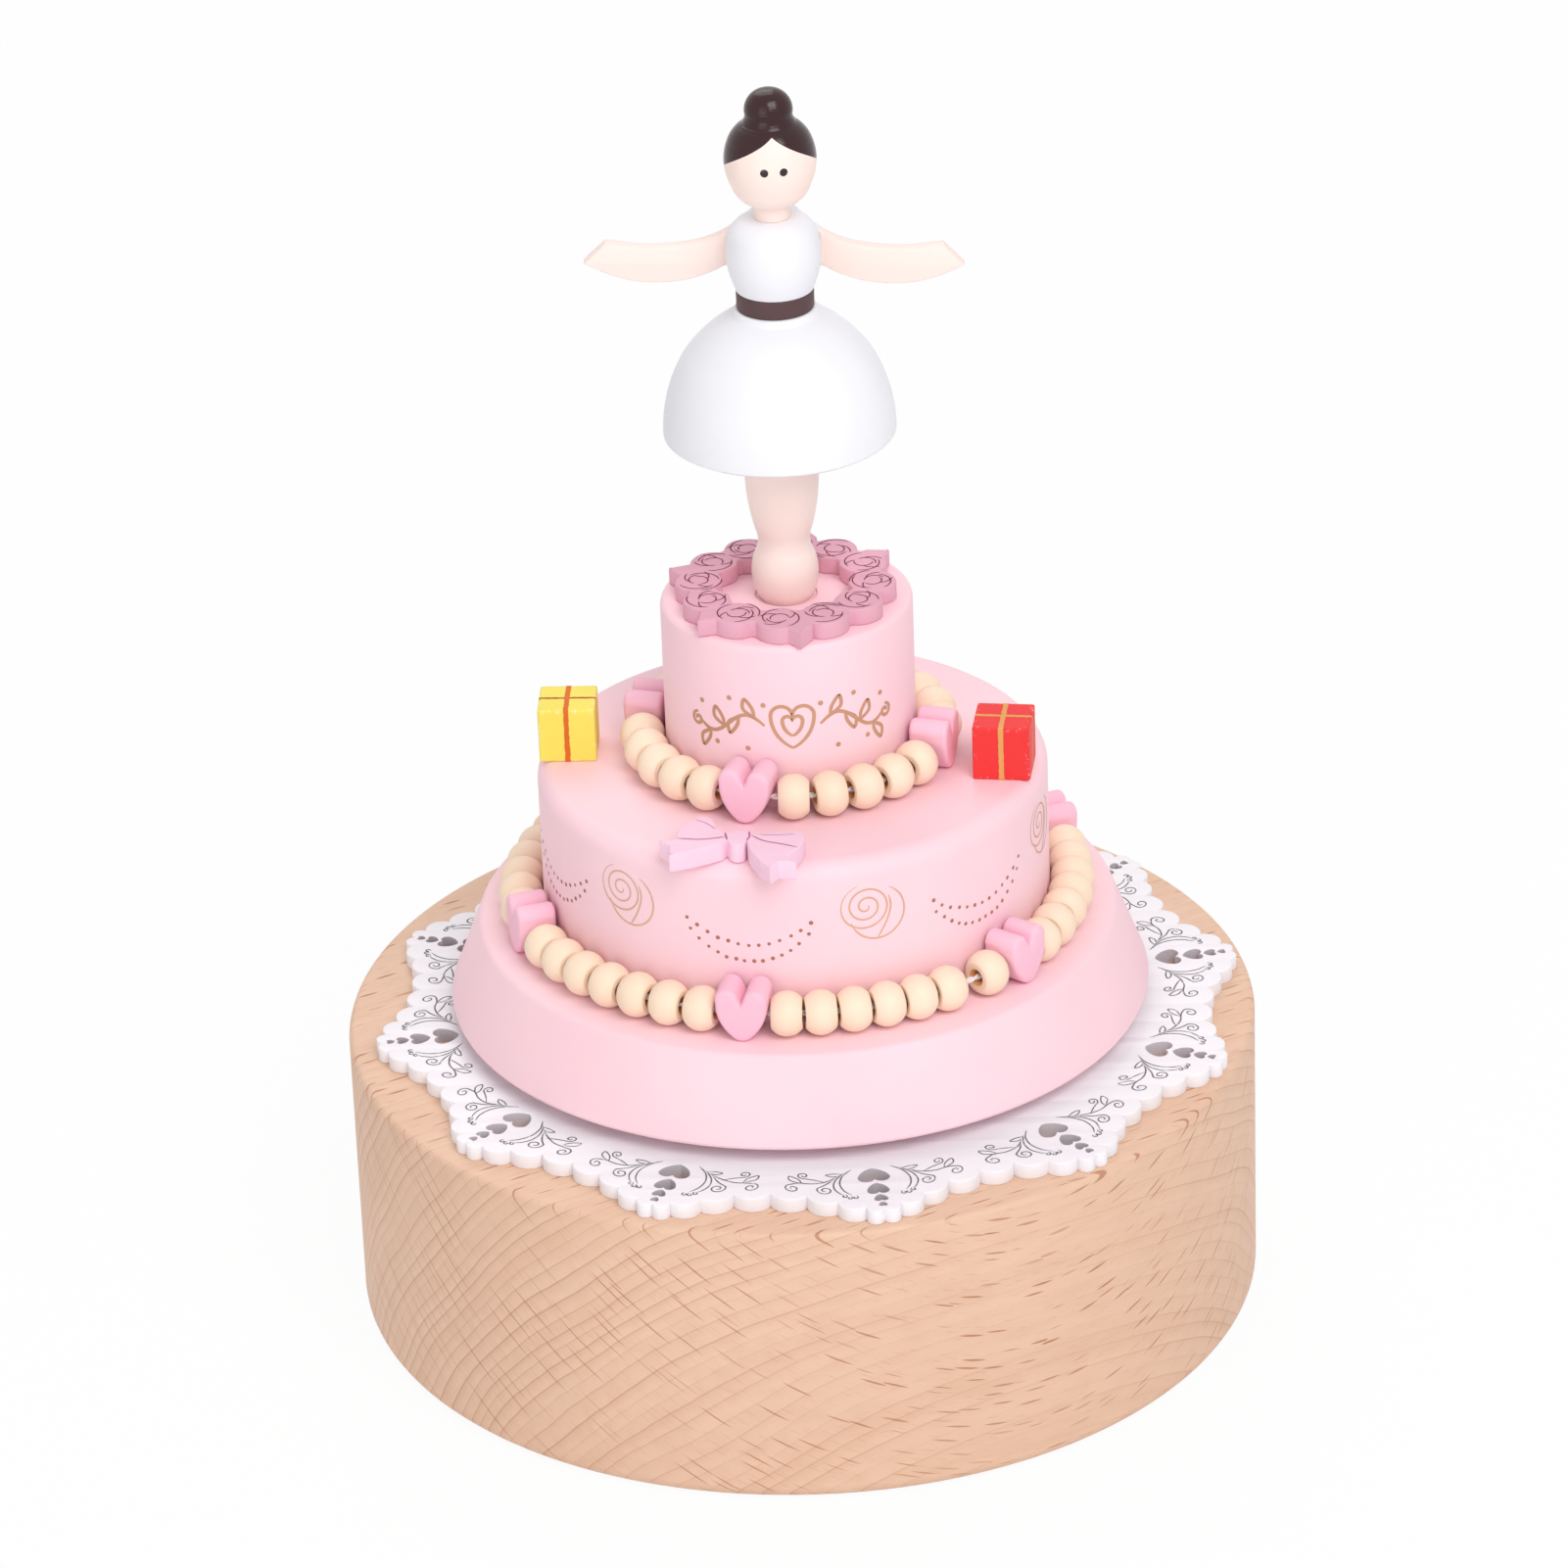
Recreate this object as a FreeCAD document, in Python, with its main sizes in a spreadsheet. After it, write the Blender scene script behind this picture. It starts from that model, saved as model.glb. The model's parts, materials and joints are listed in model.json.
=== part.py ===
import FreeCAD
import Part
import Sketcher
import math
import os
from types import SimpleNamespace

# Wooden clockwork music box: a round base, a scalloped doily, a cake of three tiers with bead
# garlands, a turned doll on top, and an 18 note movement under the top of the base.
# Millimetres, +Z up, origin at the middle of the underside, the doll faces -Y.
# Bearings below are degrees from the front (-Y), positive towards +X.

SIZES = {
    # base and doily
    "base_radius": 60.0, "base_height": 39.3, "base_top_round": 0.9, "base_foot_round": 2.0,
    "base_top_thickness": 6.8, "top_hole_radius": 5.5,
    "cover_radius": 50.0, "cover_thickness": 3.0, "cover_inset": 0.2, "cover_play": 0.2,
    "cover_shoulder": 4.0,
    "doily_thickness": 2.0, "doily_radius": 56.9, "doily_hole_radius": 5.0, "doily_shift_x": 1.1,
    "doily_shift_y": -1.2, "doily_bearing": 9.3,
    # cake
    "cake_play": 2.05, "tier_bottom_radius": 46.05, "tier_bottom_top_radius": 41.83,
    "tier_bottom_height": 11.55, "tier_middle_radius": 33.25, "tier_middle_height": 22.26,
    "tier_middle_round": 2.4, "tier_top_radius": 16.3, "tier_top_height": 22.7, "tier_top_round": 1.0,
    "edge_round": 0.6, "insert_radius": 4.0, "insert_length": 8.0, "insert_flange_radius": 6.0,
    "insert_flange_thickness": 1.0, "dowel_radius": 2.5, "dowel_length": 14.0, "dowel_spacing": 28.0,
    "tier_pin_radius": 3.0, "tier_pin_length": 20.0, "fit_play": 0.03, "end_play": 0.3,
    # garlands
    "bead_radius": 2.95, "bead_length": 4.05, "bead_face_radius": 2.0, "bead_hole_radius": 0.85,
    "bead_play": 0.02, "bead_rest": 0.1, "cord_radius": 0.4, "garland_play": 0.05,
    "heart_width": 6.6, "heart_height": 7.3, "heart_depth": 5.1, "heart_hole_height": 3.0,
    "heart_round": 0.7,
    # things on the tiers
    "bow_reach": 10.1, "bow_drop": 8.5, "bow_thickness": 2.6, "bow_knot_x": -6.73,
    "bow_knot_y": -29.2, "gift_size": 7.45, "gift_round": 0.35, "gift_yellow_x": -29.0,
    "gift_yellow_y": 2.3, "gift_red_x": 27.5, "gift_red_y": -6.85, "wreath_thickness": 2.35,
    "wreath_radius": 11.2, "rose_radius": 3.15, "leaf_length": 4.7, "wreath_shift_y": -1.2,
    # doll
    "foot_recess": 0.35, "foot_recess_radius": 4.55, "leg_radius": 4.75, "leg_height": 25.6,
    "leg_tenon_radius": 2.0, "leg_tenon_length": 8.0, "skirt_radius": 14.88, "skirt_height": 17.6,
    "skirt_hollow": 2.7, "skirt_rim": 1.0, "skirt_tenon_radius": 3.0, "belt_radius": 4.95,
    "belt_height": 2.5, "waist_tenon_radius": 2.2, "torso_radius": 6.0, "torso_height": 9.7,
    "arm_reach": 24.1, "arm_height": 10.2, "arm_thickness": 2.0, "arm_back": 5.0, "arm_lift": -0.7,
    "arm_tilt": 2.2,
    "neck_radius": 2.35, "neck_height": 1.9, "neck_tenon_radius": 1.0, "neck_tenon_length": 4.0,
    "head_radius": 5.85, "head_height": 11.0, "bun_radius": 3.12, "bun_height": 4.2,
    "bun_tenon_radius": 1.0, "bun_tenon_length": 3.0,
    # movement
    "bedplate_thickness": 2.5, "bedplate_back": 16.0, "bedplate_overhang": 3.6, "bedplate_left": 17.0,
    "bedplate_right": 24.0, "bedplate_corner": 6.0, "running_play": 0.05, "bush_radius": 3.5,
    "bush_flange_radius": 5.0, "bush_flange_thickness": 1.2, "bush_height": 8.0, "arbor_radius": 2.0,
    "arbor_below": 20.0, "housing_radius": 11.7, "housing_wall": 1.0, "housing_flange_radius": 15.6,
    "plate_thickness": 1.2, "housing_height": 13.0, "housing_cap_thickness": 1.0,
    "spring_thickness": 0.4, "spring_pitch": 0.95, "spring_margin": 0.8, "axis_drop": 9.7,
    "wheel_module": 0.6, "governor_module": 0.4, "crown_width": 2.0, "wheel_disc": 1.55,
    "ratchet_thickness": 1.2, "ratchet_radius": 4.6, "clip_thickness": 0.8, "cylinder_radius": 6.5,
    "pin_radius": 0.2, "pin_height": 0.35, "pin_gap": 0.3, "cylinder_start": 17.5,
    "cylinder_wall": 0.8, "cylinder_arbor_radius": 1.0, "pinion_start": 13.2,
    "pinion_width": 2.4, "bracket_start": 16.2, "bracket_thickness": 1.0, "bracket_half_width": 2.8,
    "bracket_foot": 3.6, "bracket_gap": 0.5, "wheel_to_worm": 2.7, "cylinder_wheel_width": 1.2,
    "comb_thickness": 1.0, "comb_tooth_length": 7.4, "comb_length": 16.8, "comb_tooth_gap": 0.3,
    "comb_screw_reach": 14.0, "comb_pillar_depth": 7.5,
    "governor_pinion_width": 1.6, "worm_wheel_width": 1.2, "governor_arbor_radius": 0.5,
    "governor_margin": 9.1, "worm_pitch_radius": 1.5, "worm_tip_radius": 1.9, "worm_root_radius": 1.0,
    "worm_length": 5.6, "worm_shaft_radius": 0.6, "fan_radius": 4.2, "fan_height": 5.5,
    "fan_thickness": 0.5, "fan_drop": 9.8, "tooth_play": 0.12,
    # screws
    "screw_radius": 1.0, "screw_head_radius": 1.8, "screw_head_height": 1.0, "slot_width": 0.5,
    "slot_depth": 0.4, "cover_screw_grip": 8.0, "plate_screw_grip": 4.5, "short_screw_grip": 1.8,
    "comb_screw_grip": 5.0, "plate_screw_offset": 13.0, "plate_screw_front": 25.0,
}

GREAT_TEETH = 48
PINION_TEETH = 16
CYLINDER_WHEEL_TEETH = 36
GOVERNOR_PINION_TEETH = 12
WORM_WHEEL_TEETH = 16
RATCHET_TEETH = 12
COMB_TEETH = 18
PINS_PER_TRACK = 5
SPRING_HALF_TURNS = 16
DOILY_TIPS = 12
ROSES = 12

doc = FreeCAD.newDocument("music_box")
sheet = doc.addObject("Spreadsheet::Sheet", "sizes")
for row, (alias, number) in enumerate(SIZES.items(), 1):
    sheet.set("A%d" % row, alias)
    sheet.set("B%d" % row, str(number))
    sheet.setAlias("B%d" % row, alias)
doc.recompute()


class Size:
    """A length in millimetres together with the sheet expression that gives it."""

    def __init__(self, value, text):
        self.value = value
        self.text = text

    def __add__(self, other):
        other = as_size(other)
        return Size(self.value + other.value, "(%s + %s)" % (self.text, other.text))

    def __sub__(self, other):
        other = as_size(other)
        return Size(self.value - other.value, "(%s - %s)" % (self.text, other.text))

    def __mul__(self, factor):
        return Size(self.value * factor, "(%s * %.9f)" % (self.text, factor))

    def __truediv__(self, factor):
        return self * (1.0 / factor)

    def __neg__(self):
        return self * -1.0

    def __float__(self):
        return float(self.value)

    def __rsub__(self, other):
        return as_size(other) - self

    __radd__ = __add__
    __rmul__ = __mul__


def as_size(number):
    """A plain number as a Size, or the Size itself."""
    return number if isinstance(number, Size) else Size(float(number), "%.9f" % number)


s = SimpleNamespace(**{alias: Size(sheet.get(alias), "sizes." + alias) for alias in SIZES})

# levels, from the floor up
cavity_radius = s.cover_radius - s.cover_shoulder
cover_top = s.cover_inset + s.cover_thickness
ceiling = s.base_height - s.base_top_thickness
plate_under = ceiling - s.bedplate_thickness
doily_top = s.base_height + s.doily_thickness
cake_foot = doily_top + s.cake_play
middle_foot = cake_foot + s.tier_bottom_height
top_foot = middle_foot + s.tier_middle_height
cake_top = top_foot + s.tier_top_height
leg_foot = cake_top - s.foot_recess
skirt_foot = leg_foot + s.leg_height - s.skirt_hollow
belt_foot = skirt_foot + s.skirt_height
torso_foot = belt_foot + s.belt_height
neck_foot = torso_foot + s.torso_height
head_foot = neck_foot + s.neck_height
bun_foot = head_foot + s.head_height

# the train: the cylinder lies along X over the crown teeth, the governor beside it
axis_level = plate_under - s.axis_drop
great_radius = s.wheel_module * (GREAT_TEETH / 2)
pinion_radius = s.wheel_module * (PINION_TEETH / 2)
crown_pitch_level = axis_level - pinion_radius
crown_foot = crown_pitch_level - s.wheel_module * 1.25
wheel_under = crown_foot - s.wheel_disc
ratchet_under = wheel_under - s.ratchet_thickness
clip_under = ratchet_under - s.clip_thickness
housing_under = plate_under - s.housing_height
cap_under = housing_under - s.housing_cap_thickness
cylinder_wheel_radius = s.governor_module * (CYLINDER_WHEEL_TEETH / 2)
governor_pinion_radius = s.governor_module * (GOVERNOR_PINION_TEETH / 2)
worm_wheel_radius = s.governor_module * (WORM_WHEEL_TEETH / 2)
governor_y = -(cylinder_wheel_radius + governor_pinion_radius)
worm_y = governor_y - worm_wheel_radius - s.worm_pitch_radius
worm_x = cavity_radius - s.governor_margin
cylinder_wheel_start = worm_x - s.wheel_to_worm
cylinder_length = cylinder_wheel_start - s.cylinder_start - s.end_play
bedplate_front = worm_x + s.bedplate_overhang
fan_level = axis_level - s.fan_drop
outer_bracket_start = cylinder_wheel_start + s.cylinder_wheel_width + s.bracket_gap
parts = []


def bind(item, **sizes):
    """Ties properties of an object to the sheet. A name such as Base_x means Placement.Base.x."""
    for name, size in sizes.items():
        path = "Placement." + name.replace("_", ".") if name.startswith("Base_") else name
        item.setExpression(path, as_size(size).text)


def sub_part(item, node):
    """Registers an object as a finished sub-part under its own label."""
    item.Label = node
    parts.append(item)
    return item


def bearing(angle, radius=1.0):
    """X and Y of a point at a bearing from the front."""
    turn = math.radians(angle)
    return radius * math.sin(turn), radius * -math.cos(turn)


def via(x, y):
    """A point that the arc between its neighbours passes through."""
    return ("via", x, y)


def pin_point(sketch, geometry, end, x, y):
    """Fixes a point of a sketch at x, y, each tied to the sheet."""
    for kind, axis, size in (("DistanceX", -2, as_size(x)), ("DistanceY", -1, as_size(y))):
        if abs(size.value) < 1e-9:
            sketch.addConstraint(Sketcher.Constraint("PointOnObject", geometry, end, axis))
            continue
        index = sketch.addConstraint(Sketcher.Constraint(kind, -1, 1, geometry, end, size.value))
        sketch.setExpression("Constraints[%d]" % index, size.text)


def draw_outline(sketch, outline):
    """Draws a closed outline of corners, with an arc wherever a via point stands between two."""
    corners = [point for point in outline if point[0] != "via"]
    middles = {}
    place = -1
    for point in outline:
        if point[0] == "via":
            middles[place] = point[1:]
        else:
            place += 1
    spots = [FreeCAD.Vector(float(x), float(y), 0) for x, y in corners]
    pieces = []
    for i, start in enumerate(spots):
        stop = spots[(i + 1) % len(spots)]
        if i in middles:
            middle = FreeCAD.Vector(float(middles[i][0]), float(middles[i][1]), 0)
            curve = Part.Arc(start, middle, stop)
        else:
            curve = Part.LineSegment(start, stop)
        geometry = sketch.addGeometry(curve, False)
        first = 1 if (sketch.getPoint(geometry, 1) - start).Length < 1e-6 else 2
        pieces.append((geometry, first, 3 - first))
        if i in middles:
            point = sketch.addGeometry(Part.Point(middle), True)
            pin_point(sketch, point, 1, *middles[i])
            sketch.addConstraint(Sketcher.Constraint("PointOnObject", point, 1, geometry))
    for i, (geometry, first, _) in enumerate(pieces):
        before, _, last = pieces[i - 1]
        sketch.addConstraint(Sketcher.Constraint("Coincident", before, last, geometry, first))
        pin_point(sketch, geometry, first, *corners[i])


def new_sketch(body, name, plane):
    """A sketch on one of the body's own origin planes."""
    sketch = body.newObject("Sketcher::SketchObject", name)
    origin_plane = [f for f in body.Origin.OriginFeatures if f.Role == plane][0]
    sketch.AttachmentSupport = [(origin_plane, "")]
    sketch.MapMode = "FlatFace"
    return sketch


def turned(name, outline, level=None):
    """A body turned about Z from the (radius, height) outline of one half."""
    body = doc.addObject("PartDesign::Body", name)
    sketch = new_sketch(body, name + "_profile", "XZ_Plane")
    draw_outline(sketch, outline)
    revolution = body.newObject("PartDesign::Revolution", name + "_turning")
    revolution.Profile = sketch
    revolution.ReferenceAxis = (sketch, ["V_Axis"])
    revolution.Angle = 360
    if level is not None:
        bind(body, Base_z=level)
    return body


def board(name, outline, thickness, plane="XY_Plane"):
    """A body sawn from a board: the outline in a plane, and a thickness. From the XZ plane the
    thickness goes towards -Y."""
    body = doc.addObject("PartDesign::Body", name)
    sketch = new_sketch(body, name + "_outline", plane)
    draw_outline(sketch, outline)
    pad = body.newObject("PartDesign::Pad", name + "_board")
    pad.Profile = sketch
    bind(pad, Length=thickness)
    return body


def scaled(table, width, height):
    """An outline drawn at any scale, brought to the given width and height."""
    widest = max(abs(point[-2]) for point in table)
    tallest = max(abs(point[-1]) for point in table)
    return [point[:-2] + (width * (point[-2] / widest), height * (point[-1] / tallest))
            for point in table]


def cylinder(name, radius, low, high, x=0.0, y=0.0):
    """An upright round bar between two levels."""
    bar = doc.addObject("Part::Cylinder", name)
    bind(bar, Radius=radius, Height=high - low, Base_x=x, Base_y=y, Base_z=low)
    return bar


def lying_cylinder(name, radius, start, stop, y, z):
    """A round bar along X."""
    bar = doc.addObject("Part::Cylinder", name)
    bar.Placement = FreeCAD.Placement(FreeCAD.Vector(), FreeCAD.Rotation(FreeCAD.Vector(0, 1, 0), 90))
    bind(bar, Radius=radius, Height=stop - start, Base_x=start, Base_y=y, Base_z=z)
    return bar


def block(name, x, y, z):
    """A block between pairs of x, y and z."""
    box = doc.addObject("Part::Box", name)
    bind(box, Length=x[1] - x[0], Width=y[1] - y[0], Height=z[1] - z[0])
    bind(box, Base_x=x[0], Base_y=y[0], Base_z=z[0])
    return box


def fused(name, pieces):
    """Several solids made one."""
    union = doc.addObject("Part::MultiFuse", name)
    union.Shapes = pieces
    union.Refine = True
    return union


def cut(name, base, tools):
    """A solid with others taken out of it."""
    hollow = doc.addObject("Part::Cut", name)
    hollow.Base = base
    hollow.Tool = tools[0] if len(tools) == 1 else fused(name + "_tools", tools)
    return hollow


def group(node, pieces):
    """Separate solids that share one node."""
    compound = doc.addObject("Part::Compound", node + "_group")
    compound.Links = pieces
    return sub_part(compound, node)


def feature(node, shape, x=0.0, y=0.0, z=0.0):
    """A sub-part whose shape is worked out here, then placed."""
    item = doc.addObject("Part::Feature", node + "_shape")
    item.Shape = shape
    bind(item, Base_x=x, Base_y=y, Base_z=z)
    return sub_part(item, node)


def loop_wire(corners):
    """A closed wire through corners, with an arc wherever a via point stands between two."""
    edges = []
    points = [p for p in corners] + [corners[0]]
    i = 0
    while i < len(points) - 1:
        start = FreeCAD.Vector(*points[i], 0)
        if points[i + 1][0] == "via":
            middle = FreeCAD.Vector(*points[i + 1][1:], 0)
            edges.append(Part.Arc(start, middle, FreeCAD.Vector(*points[i + 2], 0)).toShape())
            i += 2
        else:
            edges.append(Part.makeLine(start, FreeCAD.Vector(*points[i + 1], 0)))
            i += 1
    return Part.Wire(edges)


def screws(node, places, length, point_level, points_up=True, countersunk=False):
    """Slotted screws at (x, y) places. point_level is where the shank ends, and the head is
    below it when the screw points up."""
    made = []
    sign = 1.0 if points_up else -1.0
    for i, (x, y) in enumerate(places):
        name = "%s_%d" % (node, i + 1)
        seat = point_level - length * sign
        face = seat - s.screw_head_height * sign
        low, high = (seat, point_level) if points_up else (point_level, seat)
        shank = cylinder(name + "_shank", s.screw_radius, low, high, x, y)
        head_low = face if points_up else seat
        if countersunk:
            head = doc.addObject("Part::Cone", name + "_head")
            bind(head, Radius1=s.screw_head_radius, Radius2=s.screw_radius,
                 Height=s.screw_head_height, Base_x=x, Base_y=y, Base_z=head_low)
        else:
            head = cylinder(name + "_head", s.screw_head_radius, head_low,
                            head_low + s.screw_head_height, x, y)
        slot_low = face if points_up else face - s.slot_depth
        reach = s.screw_head_radius * 1.1
        slot = block(name + "_slot", (x - reach, x + reach),
                     (y - s.slot_width / 2, y + s.slot_width / 2), (slot_low, slot_low + s.slot_depth))
        made.append(cut(name, fused(name + "_solid", [shank, head]), [slot]))
    return group(node, made)


def base():
    """Beech puck, hollow below for the movement, with a recess for the cover."""
    radius, height = s.base_radius, s.base_height
    top, foot = s.base_top_round, s.base_foot_round
    corner = 1 - math.sqrt(0.5)
    recess = s.cover_radius + s.cover_play
    outline = [
        (s.top_hole_radius, ceiling), (cavity_radius, ceiling), (cavity_radius, cover_top),
        (recess, cover_top), (recess, 0), (radius - foot, 0),
        via(radius - foot * corner, foot * corner), (radius, foot), (radius, height - top),
        via(radius - top * corner, height - top * corner), (radius - top, height),
        (s.top_hole_radius, height)]
    puck = turned("base_puck", outline)
    holes = [cylinder("cover_pilot_%d" % i, s.screw_radius + s.fit_play, cover_top,
                      cover_top + s.cover_screw_grip, x, y)
             for i, (x, y) in enumerate(cover_screw_places())]
    holes += [cylinder("plate_pilot_%d" % i, s.screw_radius + s.fit_play, ceiling,
                       ceiling + s.plate_screw_grip + s.end_play, x, y)
              for i, (x, y) in enumerate(plate_screw_places())]
    sub_part(cut("base_hollowed", puck, holes), "base_body")


def plate_screw_places():
    """Three places near the corners of the bedplate."""
    near, far = s.plate_screw_offset, s.plate_screw_front
    return [(-near, -near), (-near, near), (far, -near)]


def cover_screw_places():
    """Three places on the shoulder between the cavity and the cover's rim."""
    middle = (cavity_radius + s.cover_radius + s.cover_play) * 0.5
    return [(middle * bearing(angle)[0], middle * bearing(angle)[1]) for angle in (30, 150, 270)]


def cover():
    """Round plate that closes the base, let in a little from the floor, and its screws."""
    disc = turned("cover_disc", [(0, 0), (s.cover_radius, 0), (s.cover_radius, s.cover_thickness),
                                 (0, s.cover_thickness)], s.cover_inset)
    holes = []
    for i, (x, y) in enumerate(cover_screw_places()):
        sink = doc.addObject("Part::Cone", "cover_sink_%d" % i)
        wide = s.screw_head_radius + s.fit_play
        bind(sink, Radius1=wide, Radius2=s.screw_radius + s.fit_play, Height=s.screw_head_height,
             Base_x=x, Base_y=y, Base_z=s.cover_inset)
        holes += [sink, cylinder("cover_hole_%d" % i, s.screw_radius + s.fit_play, s.cover_inset,
                                 cover_top, x, y)]
    sub_part(cut("cover_drilled", disc, holes), "bottom_cover")
    length = s.cover_thickness - s.screw_head_height + s.cover_screw_grip - s.end_play
    screws("bottom_cover_screws", cover_screw_places(), length,
           cover_top + s.cover_screw_grip - s.end_play, countersunk=True)


def heart_wire(width, height):
    """A heart with its point at the origin and its lobes towards +Y."""
    lobe = width / 4
    notch = height - lobe * 0.6
    shoulder = height - lobe
    return loop_wire([(0, 0), via(-width * 0.36, height * 0.31), (-width / 2, shoulder),
                      via(-lobe, height), (0, notch), via(lobe, height), (width / 2, shoulder),
                      via(width * 0.36, height * 0.31)])


# the doily's edge over half a period of 30 degrees: (bearing from the tip, inset from the tip's
# radius) of the cusps, and of the crests of the bumps between them
DOILY_CUSPS = [(0.0, 0.0), (2.2, 0.8), (5.8, 2.5), (9.9, 4.5), (15.0, 5.0)]
DOILY_CRESTS = [(1.05, -0.65), (3.9, 0.4), (7.8, 2.3), (12.3, 3.4)]
# its row of hearts: inset of the middle, width across and depth along the radius
DOILY_HEARTS = [(8.5, 4.1, 3.3), (5.1, 2.8, 2.6), (2.75, 1.75, 1.6), (1.15, 1.05, 1.05)]


def doily():
    """Scalloped disc of white laminate with rows of heart cut-outs."""
    radius = float(s.doily_radius)
    period = 360.0 / DOILY_TIPS
    edge = []
    for tip in range(DOILY_TIPS):
        middle = float(s.doily_bearing) + tip * period
        for side in (-1, 1):
            order = range(3, -1, -1) if side < 0 else range(4)
            for i in order:
                start = DOILY_CUSPS[i + 1] if side < 0 else DOILY_CUSPS[i]
                crest = DOILY_CRESTS[i]
                edge.append(bearing(middle + side * start[0], radius - start[1]))
                edge.append(("via",) + bearing(middle + side * crest[0], radius - crest[1]))
    holes = []
    for tip in range(DOILY_TIPS):
        angle = float(s.doily_bearing) + tip * period
        for inset, width, depth in DOILY_HEARTS:
            wire = heart_wire(width, depth)
            wire.translate(FreeCAD.Vector(0, radius - inset - depth / 2, 0))
            wire.rotate(FreeCAD.Vector(), FreeCAD.Vector(0, 0, 1), 180 + angle)
            holes.append(Part.Face(wire))
    centre = Part.Wire(Part.makeCircle(float(s.doily_hole_radius)))
    sheet_face = Part.Face(loop_wire(edge)).cut(Part.makeCompound(holes + [Part.Face(centre)]))
    solid = sheet_face.extrude(FreeCAD.Vector(0, 0, float(s.doily_thickness)))
    feature("doily", solid.Solids[0], s.doily_shift_x, s.doily_shift_y, s.base_height)


def rounded_top(radius, height, edge, bore=0):
    """Half outline of a tier with a rounded upper edge."""
    corner = 1 - math.sqrt(0.5)
    return [(bore, 0), (radius, 0), (radius, height - edge),
            via(radius - edge * corner, height - edge * corner), (radius - edge, height), (bore, height)]


def dowel_places():
    """The two dowels stand left and right of the arbor."""
    return [(s.dowel_spacing * side, as_size(0)) for side in (-0.5, 0.5)]


def cake():
    """Three tiers, the threaded insert below, and the dowels and pin between them."""
    corner = 1 - math.sqrt(0.5)
    edge, height = s.edge_round, s.tier_bottom_height
    wide, narrow = s.tier_bottom_radius, s.tier_bottom_top_radius
    flange = s.insert_flange_thickness
    bore, clear = s.insert_radius + s.fit_play, s.arbor_radius + s.end_play
    outline = [
        (clear, s.insert_length + flange), (bore, s.insert_length + flange), (bore, flange),
        (s.insert_flange_radius + s.fit_play, flange), (s.insert_flange_radius + s.fit_play, 0),
        (wide - edge, 0), via(wide - edge * corner, edge * corner), (wide, edge),
        (narrow + edge * 0.3, height - edge), via(narrow - edge * corner, height - edge * corner),
        (narrow - edge, height), (clear, height)]
    disc = turned("tier_bottom_disc", outline, cake_foot)
    half = s.dowel_length / 2
    holes = [cylinder("lower_dowel_hole_%d" % i, s.dowel_radius + s.fit_play,
                      middle_foot - half + s.end_play, middle_foot, x, y)
             for i, (x, y) in enumerate(dowel_places())]
    sub_part(cut("tier_bottom_drilled", disc, holes), "cake_tier_bottom")

    disc = turned("tier_middle_disc", rounded_top(s.tier_middle_radius, s.tier_middle_height,
                                                  s.tier_middle_round), middle_foot)
    pin_half = s.tier_pin_length / 2
    holes = [cylinder("upper_dowel_hole_%d" % i, s.dowel_radius + s.fit_play, middle_foot,
                      middle_foot + half + s.end_play, x, y)
             for i, (x, y) in enumerate(dowel_places())]
    holes.append(cylinder("pin_hole_below", s.tier_pin_radius + s.fit_play,
                          top_foot - pin_half, top_foot))
    sub_part(cut("tier_middle_drilled", disc, holes), "cake_tier_middle")

    disc = turned("tier_top_disc", rounded_top(s.tier_top_radius, s.tier_top_height,
                                               s.tier_top_round), top_foot)
    holes = [cylinder("pin_hole_above", s.tier_pin_radius + s.fit_play, top_foot,
                      top_foot + pin_half + s.end_play),
             cylinder("foot_recess_cut", s.foot_recess_radius, leg_foot, cake_top),
             cylinder("leg_hole", s.leg_tenon_radius + s.fit_play,
                      leg_foot - s.leg_tenon_length - s.end_play, leg_foot)]
    sub_part(cut("tier_top_drilled", disc, holes), "cake_tier_top")

    insert = turned("insert_turning", [
        (s.arbor_radius + s.fit_play, 0), (s.insert_flange_radius, 0), (s.insert_flange_radius, flange),
        (s.insert_radius, flange), (s.insert_radius, s.insert_length + flange),
        (s.arbor_radius + s.fit_play, s.insert_length + flange)], cake_foot)
    sub_part(insert, "cake_insert")
    group("tier_dowels", [
        cylinder("dowel_%d" % i, s.dowel_radius, middle_foot - half + s.end_play, middle_foot + half, x, y)
        for i, (x, y) in enumerate(dowel_places())])
    sub_part(cylinder("pin_bar", s.tier_pin_radius, top_foot - pin_half, top_foot + pin_half), "tier_pin")


def bead_shape():
    """A barrel bead about X with flat ends and a hole."""
    half, hole = float(s.bead_length) / 2, float(s.bead_hole_radius)
    face, belly = float(s.bead_face_radius), float(s.bead_radius)
    edges = [Part.makeLine(FreeCAD.Vector(half, hole, 0), FreeCAD.Vector(-half, hole, 0)),
             Part.makeLine(FreeCAD.Vector(-half, hole, 0), FreeCAD.Vector(-half, face, 0)),
             Part.Arc(FreeCAD.Vector(-half, face, 0), FreeCAD.Vector(0, belly, 0),
                      FreeCAD.Vector(half, face, 0)).toShape(),
             Part.makeLine(FreeCAD.Vector(half, face, 0), FreeCAD.Vector(half, hole, 0))]
    return Part.Face(Part.Wire(edges)).revolve(FreeCAD.Vector(), FreeCAD.Vector(1, 0, 0), 360)


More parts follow.
